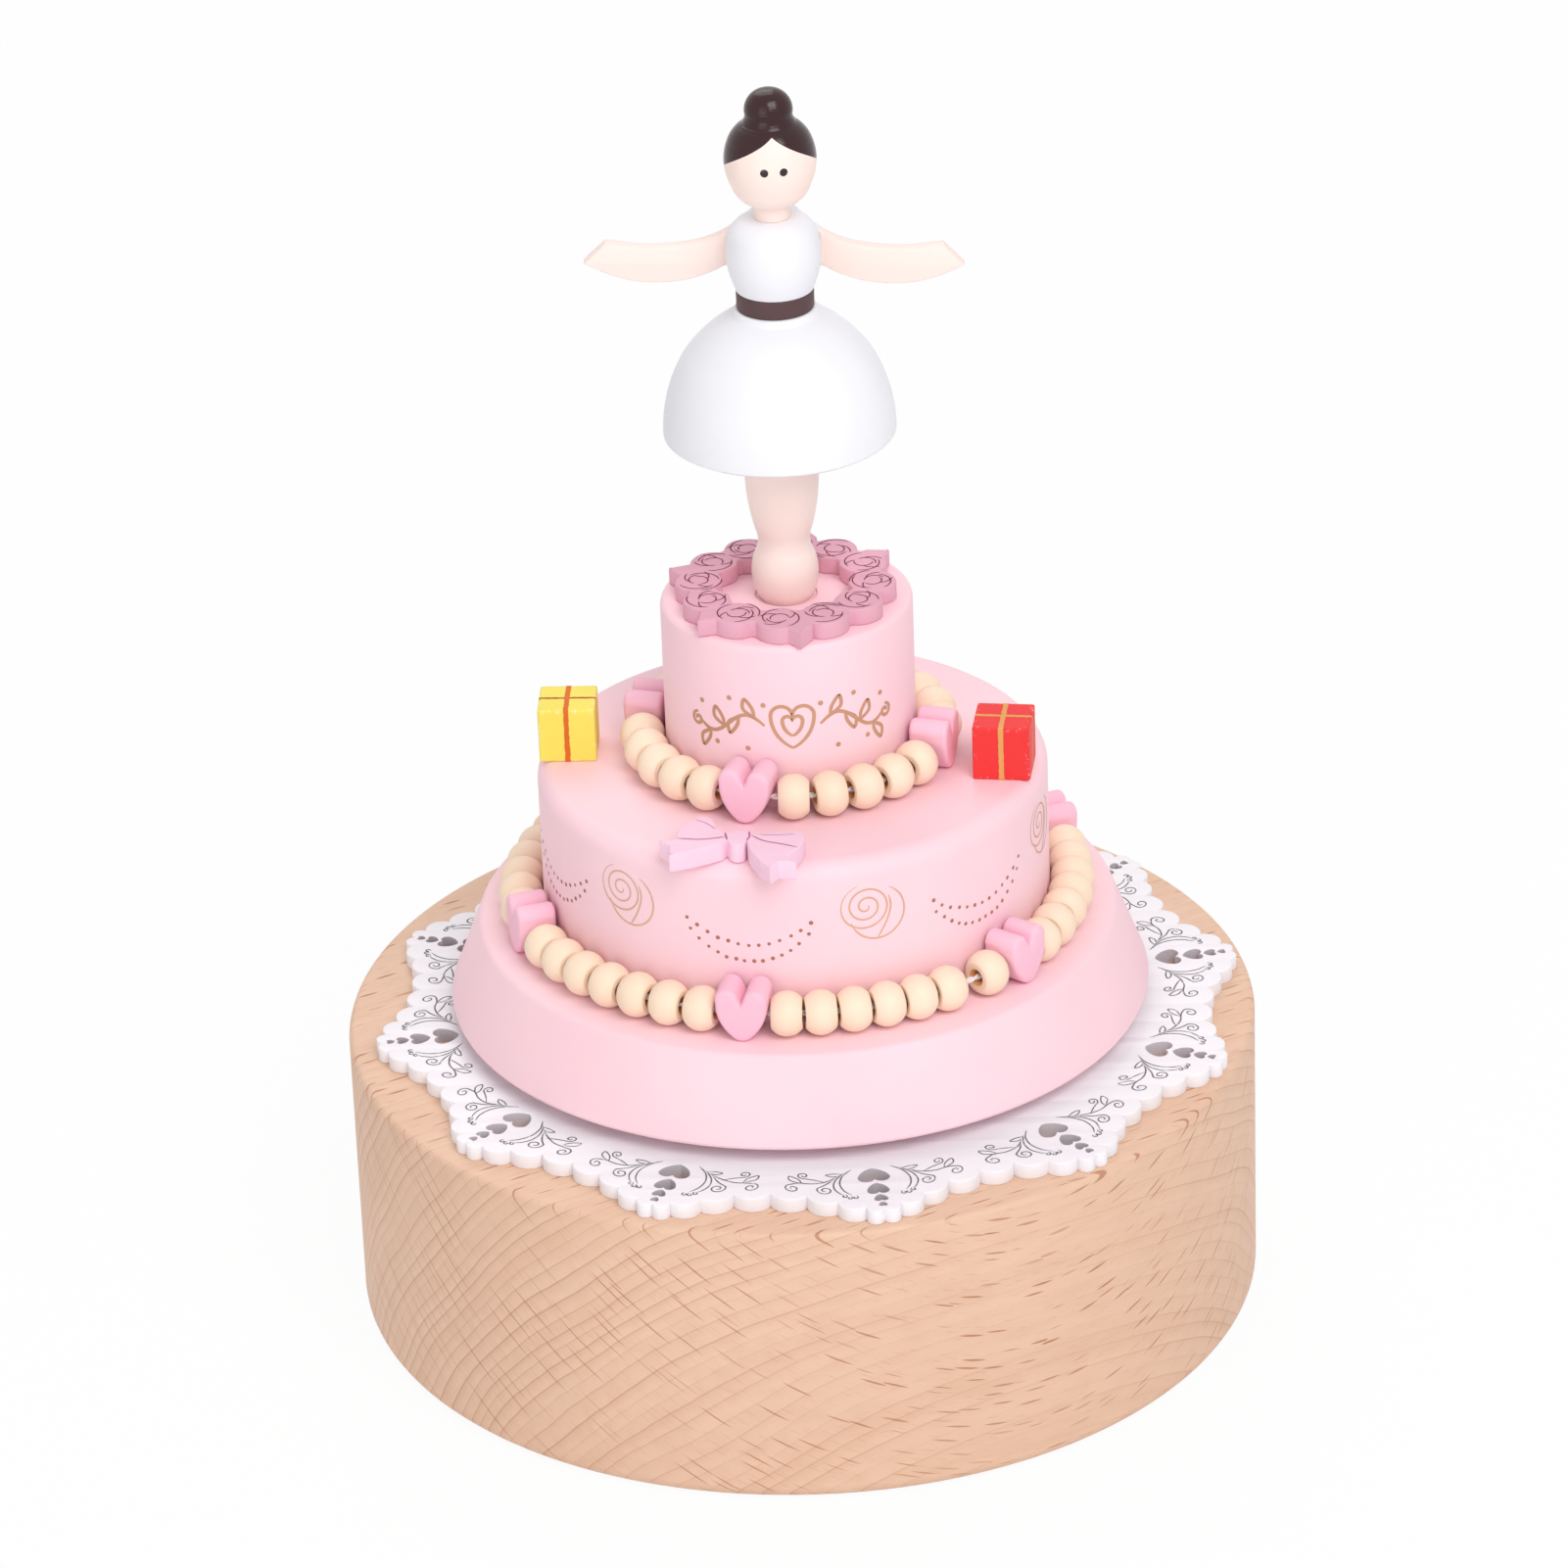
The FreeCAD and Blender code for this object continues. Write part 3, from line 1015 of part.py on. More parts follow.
def pinned_cylinder():
    """Brass tube with two end discs and rows of pins in a plain repeating pattern."""
    radius, length, wall = float(s.cylinder_radius), float(cylinder_length), float(s.cylinder_wall)
    bore = float(s.cylinder_arbor_radius + s.fit_play)
    along = FreeCAD.Vector(1, 0, 0)
    solid = Part.makeCylinder(radius, length, FreeCAD.Vector(), along)
    solid = solid.cut(Part.makeCylinder(radius - wall, length - 2 * wall, FreeCAD.Vector(wall, 0, 0), along))
    solid = solid.cut(Part.makeCylinder(bore, length, FreeCAD.Vector(), along))
    pins = []
    for track in range(COMB_TEETH):
        for k in range(PINS_PER_TRACK):
            turn = math.radians(17.0 + 40.0 * track + 360.0 / PINS_PER_TRACK * k + 9.0 * (track % 3) * k)
            out = FreeCAD.Vector(0, math.cos(turn), math.sin(turn))
            foot = FreeCAD.Vector(track_x(track), 0, 0) + out * (radius - wall / 2)
            pins.append(Part.makeCylinder(float(s.pin_radius), wall / 2 + float(s.pin_height), foot, out))
    feature("pinned_cylinder", solid.fuse(pins), s.cylinder_start, 0, axis_level)


def comb():
    """Steel comb: tuned teeth of one length, drilled root, and the screws that hold it."""
    tip = float(s.cylinder_radius + s.pin_height + s.pin_gap)
    length, thickness = float(s.comb_length), float(s.comb_thickness)
    root = tip + float(s.comb_tooth_length)
    pitch = track_x(1) - track_x(0)
    half = (pitch - float(s.comb_tooth_gap)) / 2
    full = float(cylinder_length)
    points = [(0.0, tip + length), (0.0, root)]
    for i in range(COMB_TEETH):
        x = track_x(i)
        points += [(x - half, root), (x - half, tip), (x + half, tip), (x + half, root)]
    points += [(full, root), (full, tip + length)]
    plate = Part.Face(loop_wire(points)).extrude(FreeCAD.Vector(0, 0, thickness))
    for x, y in comb_screw_places():
        spot = FreeCAD.Vector(float(x - s.cylinder_start), float(y), 0)
        plate = plate.cut(Part.makeCylinder(float(s.screw_radius + s.fit_play), thickness, spot))
    feature("comb", plate, s.cylinder_start, 0, axis_level - s.comb_thickness / 2)
    screws("comb_screws", comb_screw_places(), s.comb_thickness + s.comb_screw_grip,
           axis_level + s.comb_thickness / 2 + s.comb_screw_grip)


def governor():
    """Frame, arbor with pinion and worm wheel, the upright worm, and the fan that brakes it."""
    start = cylinder_wheel_start - 0.2
    bore = s.governor_arbor_radius + s.fit_play
    lying_gear("governor_pinion", GOVERNOR_PINION_TEETH, s.governor_module, bore,
               180.0 / GOVERNOR_PINION_TEETH, start, s.governor_pinion_width, governor_y)
    wheel_start = worm_x - s.worm_wheel_width / 2
    lying_gear("worm_wheel", WORM_WHEEL_TEETH, s.governor_module, bore, 180, wheel_start,
               s.worm_wheel_width, governor_y)
    inner, outer = start - 1.7, worm_x + 1.7
    sub_part(lying_cylinder("governor_bar", s.governor_arbor_radius, inner, outer + 1.0,
                            governor_y, axis_level), "governor_arbor")
    governor_frame(inner, outer)
    worm()
    fan()


def governor_frame(inner, outer):
    """Top plate under the bedplate, two cheeks for the arbor and an arm under the fan."""
    foot = fan_level - 2.0
    arm_top = foot + 1.0
    top_low = plate_under - s.plate_thickness
    y_out = worm_y - 2.7
    cheek_low = axis_level - 3.3
    top = block("governor_top", (inner, outer + 1.9), (y_out, governor_y + 4.6), (top_low, plate_under))
    inner_cheek = block("governor_inner_cheek", (inner, inner + 1.0),
                        (governor_y - 1.9, governor_y + 2.0), (cheek_low, plate_under))
    outer_cheek = block("governor_outer_cheek", (outer, outer + 1.0),
                        (governor_y - 1.4, governor_y + 3.4), (cheek_low, plate_under))
    leg = block("governor_leg", (outer, outer + 1.0), (governor_y + 0.1, governor_y + 3.4),
                (foot, plate_under))
    arm = block("governor_arm", (worm_x - 1.0, outer + 1.0), (worm_y - 1.2, governor_y + 3.4),
                (foot, arm_top))
    frame = fused("governor_casting", [top, inner_cheek, outer_cheek, leg, arm])
    bearing_hole = lying_cylinder("governor_bearing", s.governor_arbor_radius + s.running_play, inner,
                                  outer + 1.0, governor_y, axis_level)
    worm_hole = cylinder("worm_bearing", s.worm_shaft_radius + s.running_play, foot, plate_under,
                         worm_x, worm_y)
    holes = [cylinder("governor_hole_%d" % i, s.screw_radius + s.fit_play, top_low, plate_under, x, y)
             for i, (x, y) in enumerate(governor_screw_places())]
    sub_part(cut("governor_drilled", frame, [bearing_hole, worm_hole] + holes), "governor_frame")
    screws("governor_screws", governor_screw_places(), s.plate_thickness + s.short_screw_grip,
           plate_under + s.short_screw_grip)


def worm():
    """Endless screw: one right hand thread on an upright shaft, opposite the worm wheel."""
    root, tip = float(s.worm_root_radius), float(s.worm_tip_radius)
    lead = math.pi * float(s.governor_module)
    length = float(s.worm_length)
    low = float(axis_level) - length / 2
    shaft_low, shaft_high = float(fan_level) - 1.5, float(plate_under) - 0.6
    crest, foot = lead * 0.09, lead * 0.27
    turns = length / lead - 1.0
    helix = Part.makeHelix(lead, lead * turns, root)
    inside = root - 0.1
    section = Part.makePolygon([FreeCAD.Vector(inside, 0, -foot), FreeCAD.Vector(tip, 0, -crest),
                                FreeCAD.Vector(tip, 0, crest), FreeCAD.Vector(inside, 0, foot),
                                FreeCAD.Vector(inside, 0, -foot)])
    thread = Part.Wire(helix).makePipeShell([section], True, True)
    whole = round(length / 2 / lead - 0.5) + 0.5
    start = float(axis_level) - whole * lead
    thread.rotate(FreeCAD.Vector(), FreeCAD.Vector(0, 0, 1), 90)
    thread.translate(FreeCAD.Vector(0, 0, start))
    core = Part.makeCylinder(root, length, FreeCAD.Vector(0, 0, low))
    shaft = Part.makeCylinder(float(s.worm_shaft_radius), shaft_high - shaft_low,
                              FreeCAD.Vector(0, 0, shaft_low))
    solid = core.fuse([shaft]).fuse(thread)
    feature("worm", solid, worm_x, worm_y)


def fan():
    """Two blades on a boss, pressed on the worm's shaft."""
    radius, height = float(s.fan_radius), float(s.fan_height)
    half, shaft = float(s.fan_thickness) / 2, float(s.worm_shaft_radius + s.fit_play)
    blades = Part.makeBox(radius * 2, half * 2, height, FreeCAD.Vector(-radius, -half, 0))
    boss = Part.makeCylinder(shaft * 2, height)
    hole = Part.makeCylinder(shaft, height)
    feature("fan", boss.fuse(blades).cut(hole), worm_x, worm_y, fan_level)


def check_and_write():
    """Stops if anything failed or is not a sound solid, then writes one file for each sub-part."""
    doc.recompute()
    for item in doc.Objects:
        if "Invalid" in item.State or "Error" in item.State:
            raise RuntimeError("%s did not compute: %s" % (item.Label, item.State))
    for item in parts:
        shape = item.Shape
        if shape.isNull() or not shape.Solids or not shape.isValid():
            raise RuntimeError("%s has no sound solid" % item.Label)
    os.makedirs("parts", exist_ok=True)
    for item in parts:
        item.Shape.exportStep("parts/%s.step" % item.Label)
    print("%d sub-parts written" % len(parts))


base()
cover()
doily()
cake()
garland("lower", s.tier_middle_radius, middle_foot, 6, -10.8, 6, 1.8)
garland("upper", s.tier_top_radius, top_foot, 4, -16.5, 0, 0.0)
tier_ornaments()
doll()
bedplate()
winding()
spring()
cylinder_train()
comb()
governor()
check_and_write()
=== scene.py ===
import bpy
import json
import math
import random
from mathutils import Matrix, Vector
from mathutils.geometry import tessellate_polygon


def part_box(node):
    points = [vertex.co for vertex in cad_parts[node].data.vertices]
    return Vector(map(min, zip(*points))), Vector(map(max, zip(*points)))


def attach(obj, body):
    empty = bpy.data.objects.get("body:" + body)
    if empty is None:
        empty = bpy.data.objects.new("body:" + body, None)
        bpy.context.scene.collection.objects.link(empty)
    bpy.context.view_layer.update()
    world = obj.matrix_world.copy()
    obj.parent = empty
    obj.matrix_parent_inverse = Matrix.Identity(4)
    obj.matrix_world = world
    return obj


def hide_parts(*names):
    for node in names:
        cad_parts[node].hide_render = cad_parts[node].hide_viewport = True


# Wooden music box in the shape of a cake. Lengths below are millimetres until a mesh is made.
# Bearings are degrees from the front (-Y), positive towards +X.
MM = 0.001
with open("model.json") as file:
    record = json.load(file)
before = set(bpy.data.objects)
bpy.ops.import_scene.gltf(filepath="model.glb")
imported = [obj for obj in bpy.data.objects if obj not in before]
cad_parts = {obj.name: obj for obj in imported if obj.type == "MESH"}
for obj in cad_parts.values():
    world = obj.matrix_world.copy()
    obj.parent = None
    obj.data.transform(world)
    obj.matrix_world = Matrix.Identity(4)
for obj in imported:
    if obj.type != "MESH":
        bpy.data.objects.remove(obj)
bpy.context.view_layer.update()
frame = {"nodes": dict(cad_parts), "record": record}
BODIES = frame["record"]["behaviour"]["bodies"]
BODY_OF = {node: body for body, nodes in BODIES.items() for node in nodes}
SLOT_OF = {row["node"]: row["material_slot"] for row in frame["record"]["subparts"]}
chance = random.Random(7)


def foot_of(node):
    """Lowest level of a CAD node."""
    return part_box(node)[0].z / MM


def top_of(node):
    """Highest level of a CAD node."""
    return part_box(node)[1].z / MM


def bearing(angle, radius=1.0):
    """X and Y of a point at a bearing."""
    turn = math.radians(angle)
    return Vector((radius * math.sin(turn), -radius * math.cos(turn)))


def polar(angle, radius, middle=(0.0, 0.0)):
    """A point on a circle, its angle in degrees from the first axis."""
    turn = math.radians(angle)
    return Vector((middle[0] + radius * math.cos(turn), middle[1] + radius * math.sin(turn)))


def spin(angle, axis="Z"):
    """Matrix of a turn in degrees."""
    return Matrix.Rotation(math.radians(angle), 4, axis)


# outlines and paths


def via(x, y):
    """A point that the arc between its neighbours passes through."""
    return ("via", x, y)


def arc(start, middle, stop, pitch):
    """Points on the arc from start through middle to stop, without start."""
    ax, ay = middle[0] - start[0], middle[1] - start[1]
    bx, by = stop[0] - start[0], stop[1] - start[1]
    cross = 2 * (ax * by - ay * bx)
    if abs(cross) < 1e-9:
        return [Vector(stop)]
    a2, b2 = ax * ax + ay * ay, bx * bx + by * by
    cx = start[0] + (by * a2 - ay * b2) / cross
    cy = start[1] + (ax * b2 - bx * a2) / cross
    first, between, last = (math.atan2(p[1] - cy, p[0] - cx) for p in (start, middle, stop))
    radius = math.hypot(start[0] - cx, start[1] - cy)
    sweep = (last - first) % (2 * math.pi)
    if (between - first) % (2 * math.pi) > sweep:
        sweep -= 2 * math.pi
    count = max(3, int(abs(sweep) * radius / pitch))
    turns = [math.degrees(first + sweep * i / count) for i in range(1, count + 1)]
    return [polar(turn, radius, (cx, cy)) for turn in turns]


def traced(table, pitch=0.25, closed=True):
    """Points along an outline of corners, with an arc wherever a via point stands."""
    points = [Vector(table[0])]
    rest = list(table[1:]) + ([table[0]] if closed else [])
    i = 0
    while i < len(rest):
        if rest[i][0] == "via":
            points += arc(points[-1], rest[i][1:], rest[i + 1], pitch)
            i += 2
        else:
            points.append(Vector(rest[i]))
            i += 1
    return points[:-1] if closed else points


def softened(points, radius, closed=True):
    """The outline with each sharp corner rounded."""
    sharp = math.radians(25)
    made = []
    count = len(points)
    for i, point in enumerate(points):
        before, after = points[i - 1] - point, points[(i + 1) % count] - point
        at_end = not closed and i in (0, count - 1)
        if at_end or min(before.length, after.length) < 1e-6 or math.pi - before.angle(after) < sharp:
            made.append(point)
            continue
        reach = min(radius, before.length * 0.45, after.length * 0.45)
        one, two = point + before.normalized() * reach, point + after.normalized() * reach
        for share in (0, 0.25, 0.5, 0.75, 1):
            made.append(one * (1 - share) ** 2 + point * 2 * share * (1 - share) + two * share ** 2)
    return made


def resampled(points, pitch):
    """The closed outline, its straight stretches longer than the pitch with points in between."""
    made = []
    for start, stop in zip(points, points[1:] + points[:1]):
        steps = max(1, int((stop - start).length / pitch))
        made += [start.lerp(stop, k / steps) for k in range(steps)]
    return made


def curved(corners, pitch=0.15):
    """A smooth path through corners."""
    corners = [Vector(c) for c in corners]
    ends = [corners[0] * 2 - corners[1]] + corners + [corners[-1] * 2 - corners[-2]]
    made = []
    for i in range(1, len(ends) - 2):
        a, b, c, d = ends[i - 1:i + 3]
        steps = max(2, int((c - b).length / pitch))
        for k in range(steps):
            t = k / steps
            made.append(0.5 * (2 * b + (c - a) * t + (2 * a - 5 * b + 4 * c - d) * t ** 2
                               + (3 * b - a - 3 * c + d) * t ** 3))
    return made + [ends[-2]]


def curl(x, y, radius, start, turns):
    """A path that winds in from a circle. start is where it begins, in degrees."""
    count = int(abs(turns) * 22)
    return [polar(start + 360 * turns * i / count, radius * (1 - 0.82 * i / count), (x, y))
            for i in range(count + 1)]


def heart(width, height, notch):
    """A heart with its point at the origin and its lobes towards +Y."""
    lobe = width / 4
    return [(0, 0), via(-width * 0.36, height * 0.31), (-width / 2, height - lobe),
            via(-lobe, height), (0, notch), via(lobe, height), (width / 2, height - lobe),
            via(width * 0.36, height * 0.31)]


def rounded(radius, level, edge, foot=False):
    """The rounded edge of a turned piece, drawn upwards, at the top of its wall or at its foot."""
    near = edge * (1 - math.sqrt(0.5))
    if foot:
        return [(radius - edge, level), via(radius - near, level + near), (radius, level + edge)]
    return [(radius, level - edge), via(radius - near, level - near), (radius - edge, level)]


# meshes


def piece(name, node, looks, verts, faces, picks=None, flat=(), crease=38.0, stands_in=True):
    """Makes a mesh object in metres from points in millimetres. It rides on the body of a CAD node
    and stands in for it, unless it only lies on it. picks gives the look of each face,
    and flat the faces that stay flat."""
    mesh = bpy.data.meshes.new(name)
    mesh.from_pydata([Vector(v) * MM for v in verts], [], faces)
    mesh.validate()
    for look in looks:
        mesh.materials.append(LOOKS[look])
    smooth = [True] * len(mesh.polygons)
    for index in flat:
        smooth[index] = False
    mesh.polygons.foreach_set("use_smooth", smooth)
    if picks:
        mesh.polygons.foreach_set("material_index", picks)
    mesh.set_sharp_from_angle(angle=math.radians(crease))
    mesh.update()
    obj = bpy.data.objects.new(name, mesh)
    bpy.context.collection.objects.link(obj)
    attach(obj, BODY_OF[node])
    if stands_in:
        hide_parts(node)
    return obj


def raised(made, level):
    """A mesh lifted to its level."""
    return ([(x, y, z + level) for x, y, z in made[0]],) + tuple(made[1:])


def moved(made, place):
    """A mesh set in place by a matrix."""
    return ([place @ Vector(v) for v in made[0]],) + tuple(made[1:])


def joined(meshes):
    """Several (points, faces, looks, flat) made one."""
    verts, faces, picks, flat = [], [], [], []
    for some_verts, some_faces, some_picks, some_flat in meshes:
        shift, first = len(verts), len(faces)
        verts += some_verts
        faces += [tuple(v + shift for v in face) for face in some_faces]
        picks += some_picks
        flat += [index + first for index in some_flat]
    return verts, faces, picks, flat


def turned_mesh(outline, steps, picker=lambda middle: 0):
    """Points, faces, looks and flat faces of a closed (radius, height) outline swept round Z."""
    verts, rows, faces, picks = [], [], [], []
    for r, z in outline:
        if r < 1e-6:
            rows.append([len(verts)] * steps)
            verts.append((0, 0, z))
            continue
        rows.append(list(range(len(verts), len(verts) + steps)))
        verts += [(*bearing(360.0 * k / steps, r), z) for k in range(steps)]
    for i, low in enumerate(rows):
        following = (i + 1) % len(rows)
        high = rows[following]
        if len(set(low)) == 1 and len(set(high)) == 1:
            continue
        look = picker((outline[i] + outline[following]) / 2)
        for k in range(steps):
            after = (k + 1) % steps
            loop = [low[k], low[after], high[after], high[k]]
            faces.append([v for n, v in enumerate(loop) if v not in loop[:n]])
            picks.append(look)
    return verts, faces, picks, []


def turned(name, node, looks, level, outline, steps=192, soft=0.25):
    """A turned piece from the same half outline as its CAD node."""
    made = turned_mesh(softened(traced(outline, 0.4), soft), steps)
    piece(name, node, looks, *raised(made, level))


def inset(loop, margin):
    """The loop, anticlockwise, drawn in by a margin."""
    made = []
    for i, point in enumerate(loop):
        before, after = point - loop[i - 1], loop[(i + 1) % len(loop)] - point
        if min(before.length, after.length) < 1e-9:
            made.append(point)
            continue
        one, two = (Vector((-v.y, v.x)).normalized() for v in (before, after))
        normal = one + two
        if normal.length >= 0.35:
            normal.normalize()
            point = point + normal * margin / max(0.5, normal.dot(one))
        made.append(point)
    return made


def area(loop):
    """Signed area, positive when the loop runs anticlockwise."""
    return sum(loop[i - 1].cross(p) for i, p in enumerate(loop)) / 2


def board_mesh(outer, holes, thickness, edge, steps=3, hole_look=0, hole_edge=None):
    """Points, faces, looks and flat faces of a board from 0 to its thickness, edges rounded."""
    loops = [outer if area(outer) > 0 else outer[::-1]]
    loops += [hole if area(hole) < 0 else hole[::-1] for hole in holes]
    turns = [math.pi / 2 * k / steps for k in range(steps + 1)]
    levels = [(edge * (1 - math.sin(turn)), edge * (1 - math.cos(turn))) for turn in turns]
    levels += [(margin, thickness - z) for margin, z in reversed(levels)]
    verts, faces, picks, flat = [], [], [], []
    rings = []
    for number, loop in enumerate(loops):
        starts = []
        share = hole_edge / edge if number and hole_edge else 1.0
        for margin, z in levels:
            starts.append(len(verts))
            z = z * share if z < thickness / 2 else thickness - (thickness - z) * share
            verts += [(p.x, p.y, z) for p in inset(loop, margin * share)]
        rings.append(starts)
        count = len(loop)
        for low, high in zip(starts, starts[1:]):
            for i in range(count):
                after = (i + 1) % count
                faces.append((low + i, low + after, high + after, high + i))
                picks.append(hole_look if number else 0)
    for row, upward in ((0, False), (len(levels) - 1, True)):
        polygons, index = [], []
        for loop, starts in zip(loops, rings):
            index += range(starts[row], starts[row] + len(loop))
            polygons.append([Vector(verts[starts[row] + i]) for i in range(len(loop))])
        for triangle in tessellate_polygon(polygons):
            corner = [index[v] for v in triangle]
            a, b, c = (Vector(verts[v]) for v in corner)
            if ((b - a).cross(c - a).z > 0) != upward:
                corner.reverse()
            flat.append(len(faces))
            faces.append(tuple(corner))
            picks.append(0)
    return verts, faces, picks, flat


def lines_mesh(paths, width, place, lift, ends=0.35):
    """Flat strips along (u, v) paths, laid on a surface by place(u, v, lift)."""
    verts, faces = [], []
    for path in paths:
        first = len(verts)
        count = len(path)
        for i, point in enumerate(path):
            along = path[min(i + 1, count - 1)] - path[max(i - 1, 0)]
            along = along.normalized() if along.length > 1e-9 else Vector((1, 0))
            side = Vector((-along.y, along.x))
            share = min(i, count - 1 - i) / max(1, count * 0.12)
            half = width / 2 * (ends + (1 - ends) * min(1.0, share))
            verts += [place(*(point + side * half), lift), place(*(point - side * half), lift)]
        faces += [(a, a + 1, a + 3, a + 2) for a in range(first, first + 2 * count - 2, 2)]
    return verts, faces


def dots_mesh(spots, place, lift):
    """Small discs at (u, v, radius)."""
    sides = 10
    verts = [place(*polar(360 / sides * k, radius, (u, v)), lift)
             for u, v, radius in spots for k in range(sides)]
    return verts, [tuple(range(a, a + sides)) for a in range(0, len(verts), sides)]


def marks(name, node, look, made, outward):
    """Thin marks on a node as a piece. outward(point) tells which way they face."""
    verts, faces = [], []
    for some_verts, some_faces in made:
        shift = len(verts)
        verts += some_verts
        for face in some_faces:
            a, b, c = (Vector(some_verts[v]) for v in face[:3])
            if (b - a).cross(c - a).dot(outward((a + b + c) / 3)) < 0:
                face = face[::-1]
            faces.append(tuple(v + shift for v in face))
    piece(name, node, [look], verts, faces, crease=180, stands_in=False)


def on_top(x, y, level):
    """Places marks on a level face."""
    def place(u, v, lift):
        return (x + u, y + v, level + lift)
    return place


def wall(radius, angle, level):
    """Places marks on an upright round wall: across from a bearing, and up from a level."""
    def place(across, up, lift):
        x, y = bearing(angle + math.degrees(across / radius), radius + lift)
        return (x, y, level + up)
    return place


def upwards(point):
    return Vector((0, 0, 1))


def away(point):
    """Outwards from the upright axis."""
    return Vector((point.x, point.y, 0))


# shader nodes


def srgb(red, green, blue):
    """A colour written as 0 to 255, as the shaders want it."""
    made = []
    for value in (red, green, blue):
        value /= 255.0
        made.append(value / 12.92 if value <= 0.04045 else ((value + 0.055) / 1.055) ** 2.4)
    return tuple(made) + (1.0,)


class Nodes:
    """The nodes of a material or the world, made and linked in short calls."""

    def __init__(self, owner):
        owner.use_nodes = True
        self.tree = owner.node_tree

    def fill(self, socket, value):
        """Links a socket to another one or sets it. None leaves it as it is."""
        if isinstance(value, bpy.types.NodeSocket):
            self.tree.links.new(value, socket)
        elif value is not None:
            socket.default_value = value

    def node(self, kind, inputs=(), **settings):
        """Makes a node and gives its outputs. Inputs are in their order, or by name or number."""
        made = self.tree.nodes.new("ShaderNode" + kind)
        for name, value in settings.items():
            setattr(made, name, value)
        for key, value in inputs.items() if isinstance(inputs, dict) else enumerate(inputs):
            self.fill(made.inputs[key], value)
        return made.outputs

    def math(self, operation, *values):
        return self.node("Math", values, operation=operation)[0]

    def times(self, a, b):
        return self.math("MULTIPLY", a, b)

    def seen(self):
        """1 for what the camera sees, straight, in a mirror or through glass, and 0 for other light."""
        path = self.node("LightPath")
        straight = self.math("MAXIMUM", path["Is Camera Ray"], path["Is Glossy Ray"])
        return self.math("MAXIMUM", straight, path["Is Transmission Ray"])

    def finish(self, output, share, plain, bright):
        """Sends one shader to the output, with a share of another."""
        self.node(output, self.node("MixShader", (share, plain[0], bright[0]))[:1])


class Look(Nodes):
    """A surface, with patterns in millimetres that go through the piece as it stands at rest."""

    def __init__(self, name, roughness=0.5, specular=0.5):
        self.material = bpy.data.materials.new(name)
        super().__init__(self.material)
        self.shader = self.tree.nodes["Principled BSDF"].inputs
        self.shader["Roughness"].default_value = roughness
        self.shader["Specular IOR Level"].default_value = specular
        coords = self.node("TexCoord")
        self.place = self.node("VectorMath", {0: coords["Object"], 3: 1000.0}, operation="SCALE")[0]
        self.facing = coords["Normal"]
        self.normal = None

    def dot(self, a, b):
        return self.node("VectorMath", (a, b), operation="DOT_PRODUCT")["Value"]

    def axes(self, vector):
        return self.node("SeparateXYZ", (vector,))

    def point(self, x, y, z):
        return self.node("CombineXYZ", (x, y, z))[0]

    def noise(self, scale, detail=2.0, vector=None, roughness=0.5):
        """Noise from 0 to 1, with scale per millimetre."""
        return self.node("TexNoise", {"Vector": vector or self.place, "Scale": scale, "Detail": detail,
                                      "Roughness": roughness})["Fac"]

    def flecks(self, spot, row, thick):
        """Wood rays: thin lenses, one to a cell, flat in the third axis of spot."""
        cell = self.node("TexVoronoi", {"Vector": spot, "Scale": 1.0, "Randomness": 0.85})
        off = self.axes(self.node("VectorMath", (spot, cell["Position"]), operation="SUBTRACT")[0])
        long = self.math("ADD", self.times(off[0], off[0]), self.times(off[1], off[1]))
        size = self.math("MULTIPLY_ADD", self.math("ABSOLUTE", off[2]), row / thick,
                         self.times(long, 4.9))
        pick = self.axes(cell["Color"])[0]
        return self.times(self.step(size, 1.0, 0.55), self.step(pick, -0.6, 0.7))

    def step(self, value, low, high):
        """0 below low, 1 above high, smooth between. Also falls when low is above high."""
        return self.node("MapRange", {"Value": value, "From Min": low, "From Max": high},
                         interpolation_type="SMOOTHSTEP")[0]

    def blend(self, share, a, b):
        """Colour a where share is 0, b where it is 1."""
        return self.node("Mix", {0: share, 6: a, 7: b}, data_type="RGBA")[2]

    def colour(self, value):
        self.fill(self.shader["Base Color"], value)

    def rough(self, low, high, share):
        """Roughness that varies between two values."""
        self.fill(self.shader["Roughness"], self.math("MULTIPLY_ADD", share, high - low, low))

    def bump(self, height, depth, strength=1.0):
        """Relief of a depth in millimetres. Calls add up."""
        self.normal = self.node("Bump", {"Strength": strength, "Distance": depth * MM,
                                         "Height": height, "Normal": self.normal})[0]
        self.fill(self.shader["Normal"], self.normal)


# materials


